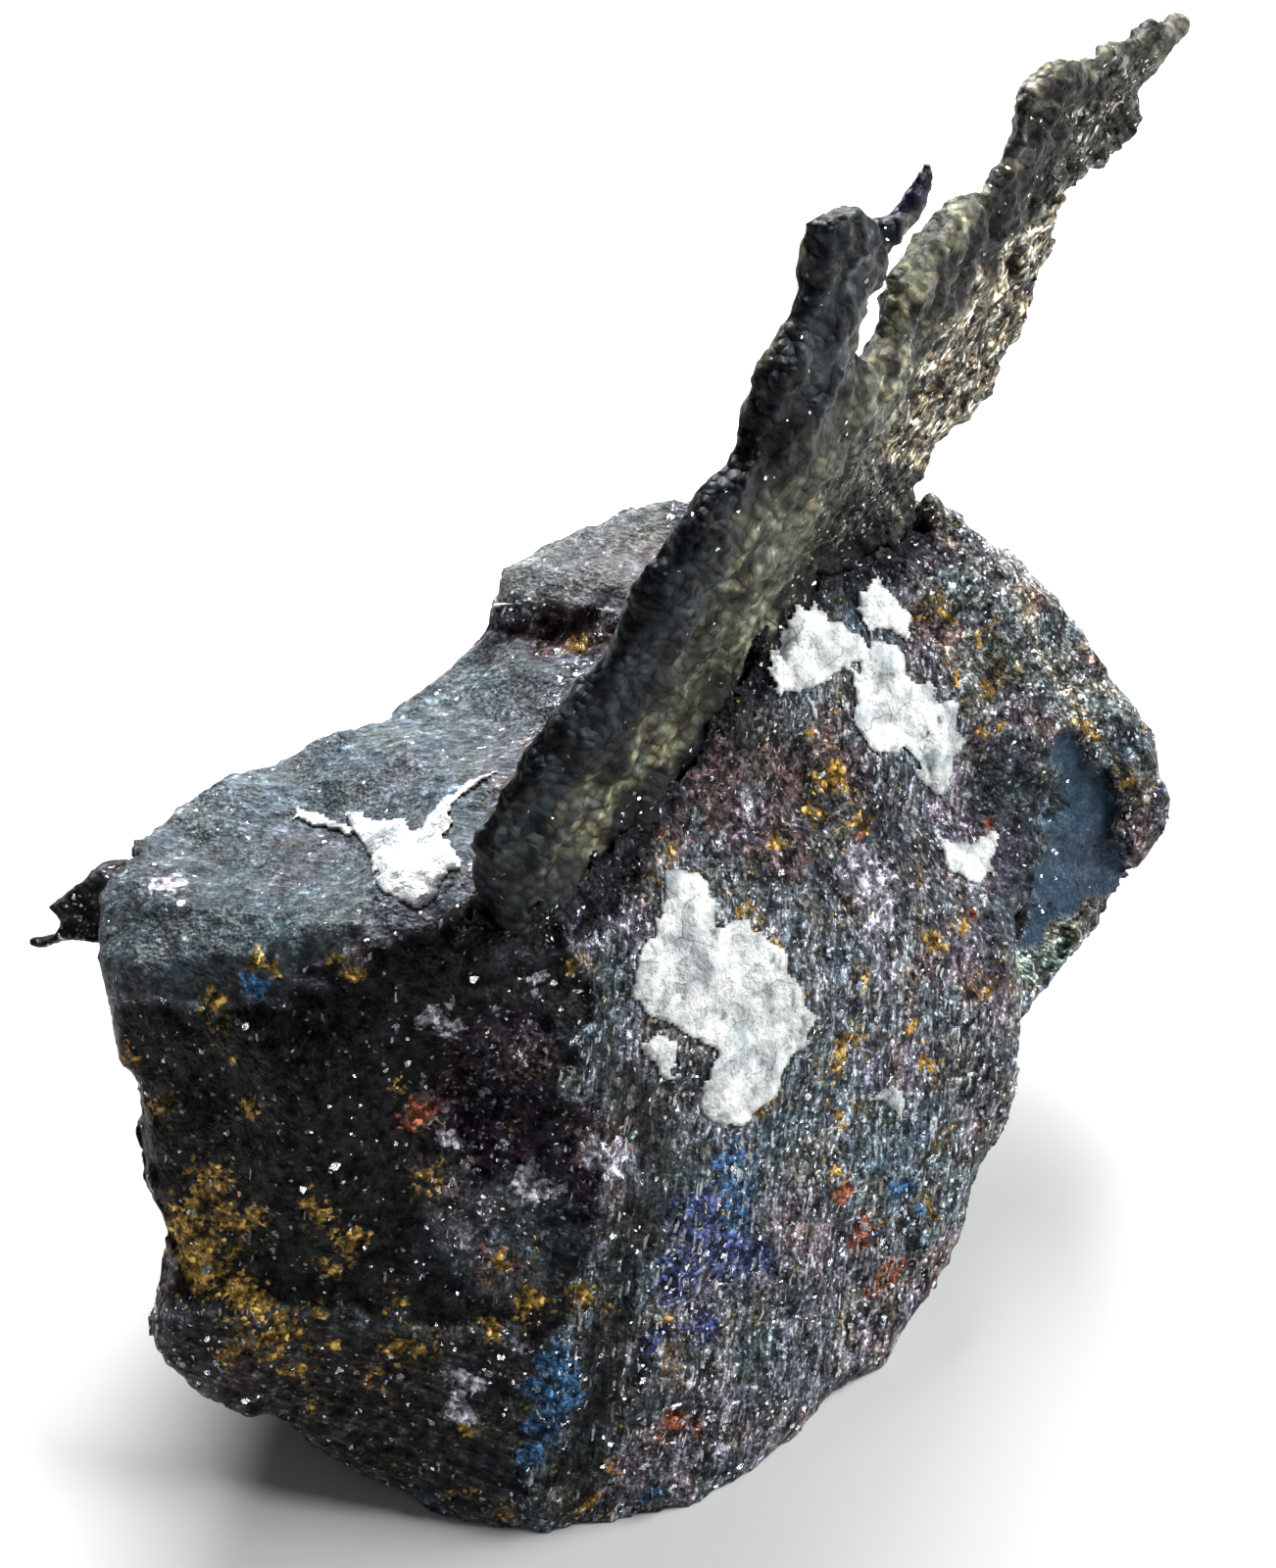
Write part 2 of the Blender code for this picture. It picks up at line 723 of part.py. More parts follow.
def spur_prism(name, grow):
    """The leaf's plain outline with its thickness, grown on every side, in millimetres."""
    half = SPUR_THICKNESS / 2 + grow
    return dip_prism(name, grown(SPUR_OUTLINE, grow), (SPUR_DEPTH - half) * MM, (SPUR_DEPTH + half) * MM)


def silver_spur():
    """The ragged leaf at the left end."""
    spur = spur_prism("silver_spur", 0)
    remesh(spur, SPUR_VOXEL)
    smooth(spur, SPUR_SMOOTHING)
    move_points(spur, lambda point, normal: point + normal * lumps(point, SPUR_LUMPS))
    decimate(spur, SPUR_TRIANGLES)
    return spur


def finish(name, colour, roughness, metallic):
    material = bpy.data.materials.new(name)
    material.use_nodes = True
    shader = material.node_tree.nodes["Principled BSDF"]
    shader.inputs["Base Color"].default_value = (*colour, 1.0)
    shader.inputs["Roughness"].default_value = roughness
    shader.inputs["Metallic"].default_value = metallic
    return material


def main():
    for old in list(bpy.data.objects):
        bpy.data.objects.remove(old, do_unlink=True)
    ore = finish("ore", (0.055, 0.058, 0.068), 0.45, 0.5)
    silver = finish("silver", (0.13, 0.125, 0.095), 0.5, 0.8)
    calcite = finish("calcite", (0.82, 0.83, 0.82), 0.55, 0.0)

    lump = ore_lump()
    calcites = set_in_calcites(lump)
    sheet = silver_sheet()
    spur = silver_spur()
    slot = root_slot(GAP / MM)
    for body in (lump, *calcites):
        boolean(body, slot, "DIFFERENCE")
    bpy.data.objects.remove(slot)
    slot = spur_prism("slot", SPUR_CLEARANCE)
    boolean(lump, slot, "DIFFERENCE")
    bpy.data.objects.remove(slot)

    materials = {"ore_matrix": ore, "silver_sheet": silver, "silver_spur": silver}
    for piece in (lump, sheet, spur, *calcites):
        piece.data.materials.clear()
        piece.data.materials.append(materials.get(piece.name, calcite))


main()
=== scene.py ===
"""Looks of the native silver specimen: a tarnished sheet of silver in dark sparkling ore with calcite.

Lengths are metres, written as millimetres times MM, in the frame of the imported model: +Z up, -Y the front.
Places on the picture are millimetres right of and above the lump's middle, as the camera sees it.
"""

import math
from collections import namedtuple

import bmesh
import bpy
import numpy as np
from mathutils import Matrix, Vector, noise
from mathutils.bvhtree import BVHTree
from mathutils.kdtree import KDTree


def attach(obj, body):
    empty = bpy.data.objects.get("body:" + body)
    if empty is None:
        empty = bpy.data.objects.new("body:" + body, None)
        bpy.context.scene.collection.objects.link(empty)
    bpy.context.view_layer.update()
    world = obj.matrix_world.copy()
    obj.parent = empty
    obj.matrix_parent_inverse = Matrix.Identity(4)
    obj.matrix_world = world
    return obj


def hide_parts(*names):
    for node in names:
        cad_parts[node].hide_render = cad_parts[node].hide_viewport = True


MM = 0.001

# The camera looks down at 45 degrees at the middle of the lump.
AIM = Vector((0.0, 12.0, 20.0)) * MM
CAMERA_TILT = math.radians(45.0)
CAMERA_DISTANCE = 140.0 * MM
CAMERA_SENSOR = 36.0  # the picture's height, in the lens's own millimetres
CAMERA_LENS = 63.0
LOOKING = Vector((0.0, math.cos(CAMERA_TILT), -math.sin(CAMERA_TILT)))
PICTURE_UP = Vector((0.0, math.sin(CAMERA_TILT), math.cos(CAMERA_TILT)))
EYE = AIM - LOOKING * CAMERA_DISTANCE

# The silver sheet's own axes: s along its root, n out of its front face, z up.
ROOT_START = Vector((-7.4, -6.0, 0.0)) * MM
ROOT_HEADING = math.atan2(0.8, 0.6)
ROOT_TOP = 29.4 * MM
ALONG_ROOT = Vector((math.cos(ROOT_HEADING), math.sin(ROOT_HEADING), 0.0))
OUT_OF_SHEET = Vector((math.sin(ROOT_HEADING), -math.cos(ROOT_HEADING), 0.0))

SEED = Vector((17.3, 4.1, 8.9))
WOBBLE_SIZE = 1.4 * MM  # the bumps in the zones' wandering edges
WOBBLE_BY = 1.1  # and how far they wander, in millimetres

# A finish is four numbers: grain, streaks down, streaks across and glints.
# A ground is the colour and finish of a surface where no zone lies.
Ground = namedtuple("Ground", "colour finish")
# A zone of a surface: its outline on the picture, its ground colour, its finish, how far it is sunk and how
# soft its edge is, both in millimetres, and how far it is drawn flat, from 0 to 1.
Zone = namedtuple("Zone", "outline colour finish sunk soft flat", defaults=(0.0, 0.5, 0.0))
# A layer of relief: the size of its bumps and its height.
Relief = namedtuple("Relief", "size height")


# Geometry


def rows_of(piece, what):
    """Three numbers for each point of the piece, as an array of rows."""
    flat = np.empty(len(piece.data.vertices) * 3)
    piece.data.vertices.foreach_get(what, flat)
    return flat.reshape(-1, 3)


def points_of(piece):
    """The piece's points as an array of rows, in metres."""
    return rows_of(piece, "co")


def normals_of(piece):
    """The piece's normals at its points."""
    return rows_of(piece, "normal")


def set_points(piece, points):
    """Moves the piece's points to new places."""
    piece.data.vertices.foreach_set("co", points.ravel())
    piece.data.update()


def new_piece(name, mesh):
    """A new object of the scene with this mesh."""
    piece = bpy.data.objects.new(name, mesh)
    bpy.context.scene.collection.objects.link(piece)
    return piece


def copy_of(node, name):
    """A copy of the node's mesh with the faces' corners joined up."""
    mesh = bpy.data.meshes.new(name)
    bm = bmesh.new()
    bm.from_mesh(node.data)
    bmesh.ops.remove_doubles(bm, verts=bm.verts, dist=0.001 * MM)
    bm.normal_update()
    bm.to_mesh(mesh)
    bm.free()
    return new_piece(name, mesh)


def joined(pieces):
    """The first piece with the others' meshes added to it."""
    bm = bmesh.new()
    for piece in pieces:
        bm.from_mesh(piece.data)
    bm.to_mesh(pieces[0].data)
    bm.free()
    for piece in pieces[1:]:
        bpy.data.objects.remove(piece)
    return pieces[0]


def remeshed(piece, voxel):
    """The piece as one even closed skin, with faces of about the voxel's size."""
    step = piece.modifiers.new("Voxels", "REMESH")
    step.mode = "VOXEL"
    step.voxel_size = voxel
    graph = bpy.context.evaluated_depsgraph_get()
    mesh = bpy.data.meshes.new_from_object(piece.evaluated_get(graph))
    piece.modifiers.clear()
    piece.data = mesh
    return piece


def smoothed(piece, rounds, factor=0.5):
    """Evens out the points, over the mesh's edges."""
    mesh = piece.data
    edges = np.empty(len(mesh.edges) * 2, int)
    mesh.edges.foreach_get("vertices", edges)
    a, b = edges.reshape(-1, 2).T
    points = points_of(piece)
    count = np.bincount(a, minlength=len(points)) + np.bincount(b, minlength=len(points))
    for _ in range(rounds):
        total = np.zeros_like(points)
        for axis in range(3):
            total[:, axis] = np.bincount(a, points[b, axis], len(points)) + np.bincount(
                b, points[a, axis], len(points)
            )
        points += factor * (total / np.maximum(count, 1)[:, None] - points)
    set_points(piece, points)
    return piece


def shaded_smooth(piece):
    """Shades the piece smoothly over its edges."""
    piece.data.polygons.foreach_set("use_smooth", np.ones(len(piece.data.polygons), bool))
    return piece


def noise_at(points, size, seed=0.0):
    """Smooth noise of about one bump per size, at each point."""
    shift = SEED + Vector((seed, -seed, 0.7 * seed))
    return np.array([noise.noise(Vector(point) / size + shift) for point in points])


def ridged_at(points, size, octaves=4, seed=0.0):
    """Noise with sharp ridges between rounded hollows, from 0 to about 1."""
    total = np.zeros(len(points))
    weight = 0.5
    for octave in range(octaves):
        total += weight * (1 - 2 * np.abs(noise_at(points, size / 2**octave, seed + 3.1 * octave)))
        weight *= 0.5
    return total


def chipped_at(points, size, seed=0.0):
    """The height of a surface broken into flat chips of about one size, each with its own tilt."""
    shift = SEED + Vector((seed, 0.3 * seed, -seed))
    heights = np.empty(len(points))
    for i, point in enumerate(points):
        place = Vector(point) / size + shift
        _, cells = noise.voronoi(place)
        tilt = noise.cell_vector(cells[0] * 7.13)
        heights[i] = (place - cells[0]).dot(tilt) + 0.4 * (tilt.x - 0.5)
    return heights


def fractured(points, normals, size, share):
    """Draws the points of each patch of about one size towards the patch's own plane, as rock breaks."""
    order = np.argsort(noise_at(points, 0.05 * size, 61.0), kind="stable")
    chosen = []
    taken = np.zeros(len(points), bool)
    everything = KDTree(len(points))
    for i, point in enumerate(points):
        everything.insert(point, i)
    everything.balance()
    for i in order:
        if not taken[i]:
            chosen.append(i)
            for _, near, _ in everything.find_range(points[i], 0.55 * size):
                taken[near] = True
    seeds = KDTree(len(chosen))
    for patch, i in enumerate(chosen):
        seeds.insert(points[i], patch)
    seeds.balance()
    patch_of = np.array([seeds.find(point)[1] for point in points])
    count = np.maximum(np.bincount(patch_of, minlength=len(chosen)), 1)
    middle = np.stack([np.bincount(patch_of, column, len(chosen)) / count for column in points.T], axis=1)
    facing = np.stack([np.bincount(patch_of, column, len(chosen)) / count for column in normals.T], axis=1)
    flat = np.linalg.norm(facing, axis=1)
    facing /= np.maximum(flat, 1e-9)[:, None]
    off = np.einsum("ij,ij->i", points - middle[patch_of], facing[patch_of])
    # a patch that bends round an edge is left as it is
    strength = share * soft_step(0.75, 0.9, flat)[patch_of]
    return points - facing[patch_of] * (off * strength)[:, None]


def flattened(points, normals, shares, by):
    """Draws the points that belong to a zone towards the zone's own plane."""
    middle = shares @ points / shares.sum()
    facing = shares @ normals
    facing /= np.linalg.norm(facing)
    off = (points - middle) @ facing
    return points - (off * shares * by)[:, None] * facing


def along(points, heading, stretch):
    """The points drawn together along one heading, so that noise at them runs out in streaks that way."""
    heading = np.array(heading.normalized())
    return points - (points @ heading)[:, None] * heading * (1 - 1 / stretch)


def store_colour(piece, name, colours):
    """Stores four numbers at each point of the piece, for its material."""
    layer = piece.data.attributes.new(name, "FLOAT_COLOR", "POINT")
    layer.data.foreach_set("color", np.ascontiguousarray(colours, np.float32).ravel())


def on_picture(points):
    """The points' places on the picture, in millimetres, and how far they lie from the eye."""
    from_eye = points - np.array(EYE)
    depth = from_eye @ np.array(LOOKING)
    right = from_eye[:, 0] / depth * CAMERA_DISTANCE / MM
    up = from_eye @ np.array(PICTURE_UP) / depth * CAMERA_DISTANCE / MM
    return np.stack([right, up], axis=1), depth


def soft_step(low, high, values):
    """0 below the low value, 1 above the high one, and a smooth rise between them."""
    share = np.clip((values - low) / (high - low), 0, 1)
    return share * share * (3 - 2 * share)


def inside_outline(places, outline):
    """How far each place lies inside the outline, negative outside."""
    corners = np.array(outline)
    nearest = np.full(len(places), np.inf)
    crossings = np.zeros(len(places), int)
    for (x0, y0), (x1, y1) in zip(corners, np.roll(corners, -1, axis=0)):
        run = np.array((x1 - x0, y1 - y0))
        off = places - (x0, y0)
        share = np.clip(off @ run / (run @ run), 0, 1)
        nearest = np.minimum(nearest, np.linalg.norm(off - share[:, None] * run, axis=1))
        if y0 != y1:
            crossed = (y0 > places[:, 1]) != (y1 > places[:, 1])
            at = x0 + (places[:, 1] - y0) * (x1 - x0) / (y1 - y0)
            crossings += crossed & (places[:, 0] < at)
    return np.where(crossings % 2 == 1, nearest, -nearest)


def wobbled_places(points):
    """The points' places on the picture, moved about by noise so that no outline runs straight."""
    places, _ = on_picture(points)
    push = np.stack([noise_at(points, WOBBLE_SIZE, seed) for seed in (41.0, 43.0)], axis=1)
    return places + push * WOBBLE_BY


def zone_shares(points, normals, zones):
    """For each zone, how much each point belongs to it; only points turned towards the camera do."""
    places = wobbled_places(points)
    facing = soft_step(-0.05, 0.2, -normals @ np.array(LOOKING))
    insides = [inside_outline(places, zone.outline) for zone in zones]
    return [facing * soft_step(-zone.soft, zone.soft, inside) for zone, inside in zip(zones, insides)]


def zone_values(zones, shares, start, value_of):
    """One number for each point: the ground's, and each zone's own where the zone lies."""
    values = np.full(len(shares[0]), start)
    for zone, share in zip(zones, shares):
        values += share * (value_of(zone) - values)
    return values


def painted(piece, zones, shares, ground, back):
    """Stores the ground colour and the finish of each point, with another ground on what faces away: for the
    ore and the sheet a darker one, painted shade.
    """
    away = soft_step(-0.25, 0.35, normals_of(piece) @ np.array(LOOKING))[:, None]
    colours = (1 - away) * (*ground.colour, 1.0) + away * (*back.colour, 1.0)
    finish = (1 - away) * ground.finish + away * back.finish
    for zone, share in zip(zones, shares):
        colours[:, :3] += share[:, None] * (np.array(zone.colour) - colours[:, :3])
        finish += share[:, None] * (np.array(zone.finish) - finish)
    store_colour(piece, "ground", colours)
    store_colour(piece, "finish", finish)


# The ore

ORE_VOXEL = 0.28 * MM
PLUG_SWELL = 0.45 * MM
ORE_LARGE_CHIPS = Relief(4.5 * MM, 0.50 * MM)
ORE_SMALL_CHIPS = Relief(1.7 * MM, 0.26 * MM)
ORE_LARGE_FACETS = 4.2 * MM
ORE_SMALL_FACETS = 1.6 * MM
ORE_RIDGES = Relief(2.6 * MM, 0.10 * MM)
ORE_BUMPS = Relief(0.8 * MM, 0.10 * MM)
ORE_GRAINS = Relief(0.45 * MM, 0.07 * MM)
ORE_DOWN = Relief(0.8 * MM, 0.16 * MM)
ORE_ACROSS = Relief(0.7 * MM, 0.13 * MM)
ORE_STREAK_STRETCH = 6.0
RESTING_BAND = (0.3 * MM, 1.5 * MM)  # the relief grows from none to full between these heights
# where the left edge is pressed in on the picture, the reach in millimetres and how far
PRESSED = (-26.4, -24.3)
PRESSED_REACH = 5.5
PRESSED_BY = 1.2 * MM
FOOT_RISE = 2.0 * MM  # how high the ore climbs the sheet
FOOT_REACH = 2.6 * MM  # how far from the sheet that starts
FOOT_DEPTH = 12.0 * MM
FOOT_BUMPS = 1.4 * MM
# painted shade for the crevice where the ore meets the sheet's foot
FOOT_SHADE_COLOUR = (0.007, 0.008, 0.011)
FOOT_FINISH = (1.0, 0.0, 0.0, 0.7)
DOWN_STREAKS = Vector((-0.12, -0.60, -0.79))
CROSS_STREAKS = Vector((0.93, -0.33, -0.12))

ORE_GROUND = Ground((0.084, 0.092, 0.102), (0.8, 0.95, 0.0, 1.5))
# the darker ground on what faces away from the camera: painted shade
ORE_SHADED_BACK = Ground((0.020, 0.023, 0.027), (0.8, 0.5, 0.0, 0.6))
ORE_ZONES = (
    # the pale, smooth face on top: slate ore painted paler, a painted highlight for the light that falls on
    # it
    Zone(
        (
            (-27.8, -4.5), (-27.2, -10.7), (-22.6, -11.2), (-18.2, -10.5), (-15.8, -8.9), (-12.6, -7.6),
            (-8.8, -6.5), (-6.6, 0.0), (-4.0, 5.0), (-3.1, 7.2), (-8.1, 7.5), (-12.6, 4.2), (-18.1, 1.8),
            (-23.6, -0.8), (-26.6, -3.2),
        ),
        (0.055, 0.070, 0.081), (0.35, 0.0, 0.5, 0.12),
    ),
    # its duller front corner
    Zone(
        (
            (-27.8, -5.0), (-27.2, -10.7), (-22.6, -11.2), (-18.2, -10.5), (-15.8, -8.9), (-16.1, -6.8),
            (-20.6, -5.2), (-24.1, -5.0),
        ),
        (0.045, 0.058, 0.066), (0.35, 0.0, 0.4, 0.08), soft=0.9,
    ),
    # the upper step of the top
    Zone(
        ((-8.2, 8.9), (-7.6, 10.0), (-5.3, 12.2), (-1.6, 14.2), (2.2, 15.0), (2.0, 12.0), (-0.6, 9.0)),
        (0.093, 0.102, 0.099), (0.3, 0.0, 0.3, 0.08),
    ),
    # the brown riser below that step
    Zone(
        ((-8.6, 7.5), (-7.6, 8.6), (-2.6, 8.6), (-0.6, 8.0), (-1.6, 6.0), (-4.5, 6.8)),
        (0.053, 0.041, 0.045), (1.0, 0.0, 0.0, 0.8), sunk=0.3,
    ),
    # the dark face at the front left: dark ore painted darker still, painted shade for the shade it lies in
    Zone(
        (
            (-27.2, -11.3), (-22.6, -11.7), (-18.2, -11.0), (-15.3, -9.1), (-12.6, -8.1), (-8.8, -7.0),
            (-4.5, -8.0), (-2.6, -10.5), (-3.8, -15.0), (-2.6, -21.5), (-4.5, -28.5), (-8.6, -27.6),
            (-12.6, -27.2), (-17.6, -26.8), (-24.6, -26.5), (-25.2, -20.0), (-26.3, -14.5),
        ),
        (0.002, 0.002, 0.003), (0.45, 0.1, 0.0, 0.5), sunk=0.35, soft=0.3,
    ),
    # the violet hollow in it
    Zone(
        (
            (-9.8, -13.8), (-7.6, -12.0), (-4.8, -12.0), (-4.5, -15.5), (-5.2, -20.0), (-7.6, -20.8),
            (-9.8, -18.2),
        ),
        (0.021, 0.012, 0.022), (1.0, 0.0, 0.0, 2.0), sunk=0.5,
    ),
    Zone(
        ((-4.0, -17.0), (-2.1, -16.5), (-1.3, -19.0), (-2.0, -22.5), (-3.6, -22.0)),
        (0.022, 0.012, 0.021), (1.0, 0.3, 0.0, 1.2), sunk=0.4,
    ),
    # the grey shoulder below it
    Zone(
        (
            (-10.6, -19.2), (-7.6, -20.8), (-4.5, -20.2), (-3.3, -23.0), (-4.5, -26.0), (-7.6, -26.5),
            (-10.6, -23.5),
        ),
        (0.060, 0.069, 0.078), (0.8, 0.3, 0.0, 1.2), soft=1.0,
    ),
    # the streaky bevel along the bottom left
    Zone(
        (
            (-24.6, -26.8), (-17.6, -27.0), (-12.6, -27.5), (-8.6, -27.9), (-4.5, -29.0), (-5.3, -35.0),
            (-7.6, -37.8), (-13.1, -36.0), (-19.3, -32.5), (-24.0, -30.0),
        ),
        (0.019, 0.019, 0.019), (0.6, 0.0, 1.0, 0.7),
    ),
    # the fibrous ridge between the two front faces
    Zone(
        (
            (-2.1, -12.0), (-0.1, -14.5), (2.5, -18.0), (2.0, -20.5), (0.5, -24.5), (-0.6, -30.0),
            (-1.1, -35.0), (-2.6, -38.0), (-4.5, -38.0), (-3.8, -32.5), (-2.4, -27.5), (-1.2, -22.5),
            (-0.6, -19.0), (-1.8, -15.0),
        ),
        (0.015, 0.017, 0.017), (0.5, 1.3, 0.0, 0.3), soft=0.8,
    ),
    # the bronze shoulder between the sheet and the calcite
    Zone(
        (
            (2.0, 2.0), (5.5, 5.0), (9.0, 3.0), (12.5, 0.0), (14.5, -4.0), (13.5, -6.5), (10.5, -6.2),
            (7.5, -5.0), (2.5, -4.0), (0.5, -3.0),
        ),
        (0.072, 0.058, 0.058), (1.2, 0.0, 0.0, 1.6), soft=1.2,
    ),
    # the right-hand rim of the front, with its pale dashes, painted glints
    Zone(
        (
            (17.4, -10.0), (19.5, -11.5), (19.2, -14.5), (18.1, -20.0), (15.5, -24.5), (14.0, -27.2),
            (11.5, -29.5), (10.5, -28.0), (13.5, -24.0), (15.7, -19.0), (16.7, -14.0),
        ),
        (0.098, 0.101, 0.101), (1.0, 1.2, 0.0, 1.6), soft=1.0,
    ),
    # the valley before the lobe
    Zone(
        (
            (16.7, 3.0), (19.5, 2.0), (21.2, 2.0), (20.5, -4.0), (19.7, -8.0), (19.5, -11.5),
            (17.9, -10.0), (17.4, -5.0), (16.7, -1.0),
        ),
        (0.040, 0.046, 0.053), (0.8, 0.2, 0.0, 0.6),
    ),
    # the granular top of the lobe
    Zone(
        (
            (15.0, 15.0), (17.9, 12.5), (20.5, 10.0), (23.0, 7.5), (26.1, 3.7), (25.0, 1.5), (23.6, 1.0),
            (22.2, 2.6), (19.5, 2.5), (16.9, 4.0), (14.0, 8.0), (14.0, 11.5),
        ),
        (0.167, 0.162, 0.150), (1.5, 0.0, 0.0, 2.0), soft=0.8,
    ),
    # the smooth blue-black facet of the lobe and the paler rim around it
    Zone(
        (
            (21.4, 2.4), (22.2, 2.6), (23.6, 1.0), (24.3, -0.6), (24.7, -3.0), (24.9, -4.7), (23.4, -6.3),
            (21.8, -8.2), (20.0, -9.6), (19.9, -7.5), (20.6, -4.0), (21.1, 0.0),
        ),
        (0.034, 0.061, 0.096), (0.12, 0.0, 0.0, 0.12), sunk=0.5, soft=0.15, flat=0.9,
    ),
    Zone(
        (
            (22.2, 2.6), (23.6, 1.0), (24.3, -0.6), (24.7, -3.0), (24.9, -4.7), (27.2, -2.6),
            (27.4, -1.5), (26.7, 0.3), (26.7, 2.2), (26.1, 3.7),
        ),
        (0.062, 0.069, 0.074), (1.2, 0.3, 0.0, 0.9), soft=0.3,
    ),
    # the tan striped ledge under the lobe
    Zone(
        (
            (19.0, -10.6), (19.5, -9.2), (21.0, -7.9), (22.9, -6.1), (23.6, -5.4), (23.6, -6.4),
            (22.2, -8.4), (19.8, -11.0),
        ),
        (0.228, 0.216, 0.174), (1.0, 0.0, 1.0, 0.6), soft=0.25,
    ),
    # the trough along the sheet's foot, darkened with painted shade, and the black slot at its end, a
    # painted shadow
    Zone(
        (
            (-8.3, -7.8), (-4.5, -4.0), (-0.6, -2.5), (2.0, 0.5), (5.5, 4.0), (7.5, 8.0), (9.0, 10.0),
            (11.5, 12.8), (15.0, 13.2), (14.7, 11.5), (12.0, 9.8), (10.0, 8.8), (7.0, 7.5), (5.7, 4.0),
            (3.5, 0.0), (0.5, -3.5), (-0.6, -6.5), (-4.5, -9.5), (-8.1, -9.2),
        ),
        (0.007, 0.008, 0.011), (1.0, 0.0, 0.0, 0.5), sunk=0.5, soft=0.7,
    ),
    Zone(
        ((11.8, 12.0), (12.7, 12.9), (14.8, 13.0), (14.8, 12.2), (12.5, 11.6)),
        (0.002, 0.002, 0.002), (0.3, 0.0, 0.0, 0.0), sunk=1.6, soft=0.2,
    ),
)

# Patches of other minerals and tarnish on the ore: the place on the picture, and the reach in millimetres.
GOLD = (
    (-15.4, -9.5, 0.7), (-14.3, -10.3, 0.4), (-19.3, -9.5, 0.6), (-21.0, -14.5, 0.6), (-20.2, -16.2, 0.8),
    (-21.8, -11.5, 0.7), (-24.4, -16.5, 0.7), (-26.0, -14.3, 0.4), (-21.8, -20.9, 1.0),
    (-23.0, -23.4, 1.6), (-22.7, -25.0, 1.3), (-21.3, -22.5, 0.9), (-20.2, -25.9, 0.8),
    (-19.0, -26.5, 0.8), (-18.0, -28.1, 1.0), (-19.4, -22.9, 0.5), (-16.9, -22.1, 0.6),
    (-14.6, -24.0, 0.8), (-15.8, -25.0, 0.5), (-16.5, -27.1, 0.5), (-15.7, -29.2, 0.5),
    (-12.1, -29.0, 0.8), (-10.8, -28.4, 0.5), (-13.8, -30.6, 0.5), (-12.4, -26.5, 0.6),
    (-8.2, -27.8, 0.5), (-7.1, -24.8, 0.8), (-5.5, -26.7, 0.9), (-2.4, -26.5, 0.8), (-8.8, -33.1, 0.6),
    (-9.3, -36.5, 0.5), (-7.1, -37.6, 0.6), (-2.4, -37.1, 0.6), (-21.5, -29.3, 0.6), (-19.6, -28.4, 0.6),
    (-18.6, -29.5, 0.6), (-17.1, -30.3, 0.6), (-16.3, -32.0, 0.4), (-12.2, -16.1, 0.5),
    (-10.8, -19.5, 0.6), (-3.2, -9.6, 0.4), (1.7, -27.5, 0.7), (2.0, -29.8, 0.5), (-0.8, -35.4, 0.5),
    (3.1, -4.6, 0.7), (2.2, -3.4, 0.8), (5.6, -6.8, 0.7), (6.6, -7.6, 0.5), (7.5, -8.5, 0.6),
    (8.7, -10.7, 0.4), (7.5, -3.1, 0.9), (9.2, 2.6, 0.4), (10.5, 0.7, 1.0), (9.2, -1.5, 0.5),
    (11.9, -2.1, 0.7), (16.2, 8.7, 0.5), (15.8, 9.9, 0.4), (18.0, 7.7, 0.7), (16.4, 6.0, 0.5),
    (18.0, 5.1, 0.7), (18.4, 2.4, 0.7), (22.7, 3.5, 0.5), (23.4, 2.3, 0.7), (24.9, 0.1, 0.5),
    (15.5, -7.9, 0.6), (15.0, -4.5, 0.4), (17.0, -7.1, 0.5), (18.0, -10.3, 0.6), (14.4, -12.5, 0.6),
    (15.3, -14.0, 0.6), (11.1, -13.6, 1.1), (12.0, -10.0, 0.5), (10.6, -17.1, 0.8), (10.6, -19.5, 0.5),
    (16.1, -18.1, 0.6), (15.2, -21.5, 0.5), (6.7, -16.5, 0.5), (-3.8, 7.7, 0.8),
)
RUST = (
    (-11.5, -17.5, 0.8), (1.9, -33.1, 0.9), (-0.7, -35.4, 0.5), (10.8, -21.1, 0.7), (11.7, -23.4, 0.9),
    (13.6, -24.6, 0.9), (12.6, -26.0, 0.8), (17.4, -6.2, 0.4), (18.4, -2.0, 0.5), (11.7, -2.2, 0.5),
    (3.3, -32.8, 0.5), (-7.1, -24.3, 0.5),
)
AZURE = (
    (-4.1, -29.8, 1.3), (-4.0, -31.4, 1.5), (-4.6, -33.0, 1.1), (-6.0, -34.8, 0.7), (-5.2, -33.6, 0.5),
    (-2.4, -31.7, 0.4), (5.3, -19.6, 1.3), (5.6, -21.4, 1.1), (13.9, -20.6, 0.8), (14.6, -22.0, 0.5),
    (1.2, -36.5, 0.5), (-16.6, -33.6, 0.3), (-20.0, -10.3, 0.7), (-10.0, -9.3, 0.3),
)
INDIGO = (
    (3.0, -22.6, 1.5), (2.6, -25.2, 1.6), (4.3, -22.4, 1.7), (4.8, -24.2, 2.0), (6.4, -24.6, 0.8),
    (1.0, -28.0, 0.7), (3.8, -27.6, 1.0), (12.6, -23.0, 0.5),
)
LILAC = (
    (-10.4, -12.4, 0.7), (-9.4, -12.6, 0.7), (-4.8, -10.2, 0.6), (-9.2, -18.8, 0.7), (-5.2, -20.5, 1.0),
    (-9.2, -30.8, 0.9), (-9.2, -32.2, 0.8), (12.0, -4.0, 1.6), (12.6, -6.0, 1.4), (4.8, -2.6, 0.5),
    (6.2, -0.8, 0.7), (-2.0, -19.3, 1.2), (-24.0, -4.6, 0.9),
)
BRONZE = (
    (4.5, 0.4, 2.4), (7.6, 0.4, 2.2), (2.6, -3.2, 1.6), (8.0, -3.2, 1.8), (10.8, 1.0, 1.6),
    (-6.5, -14.0, 1.8), (-10.5, -17.0, 1.5), (-2.0, -19.0, 1.8), (-7.4, -25.6, 1.4), (15.0, -9.4, 1.5),
    (-4.2, 7.4, 1.5),
)
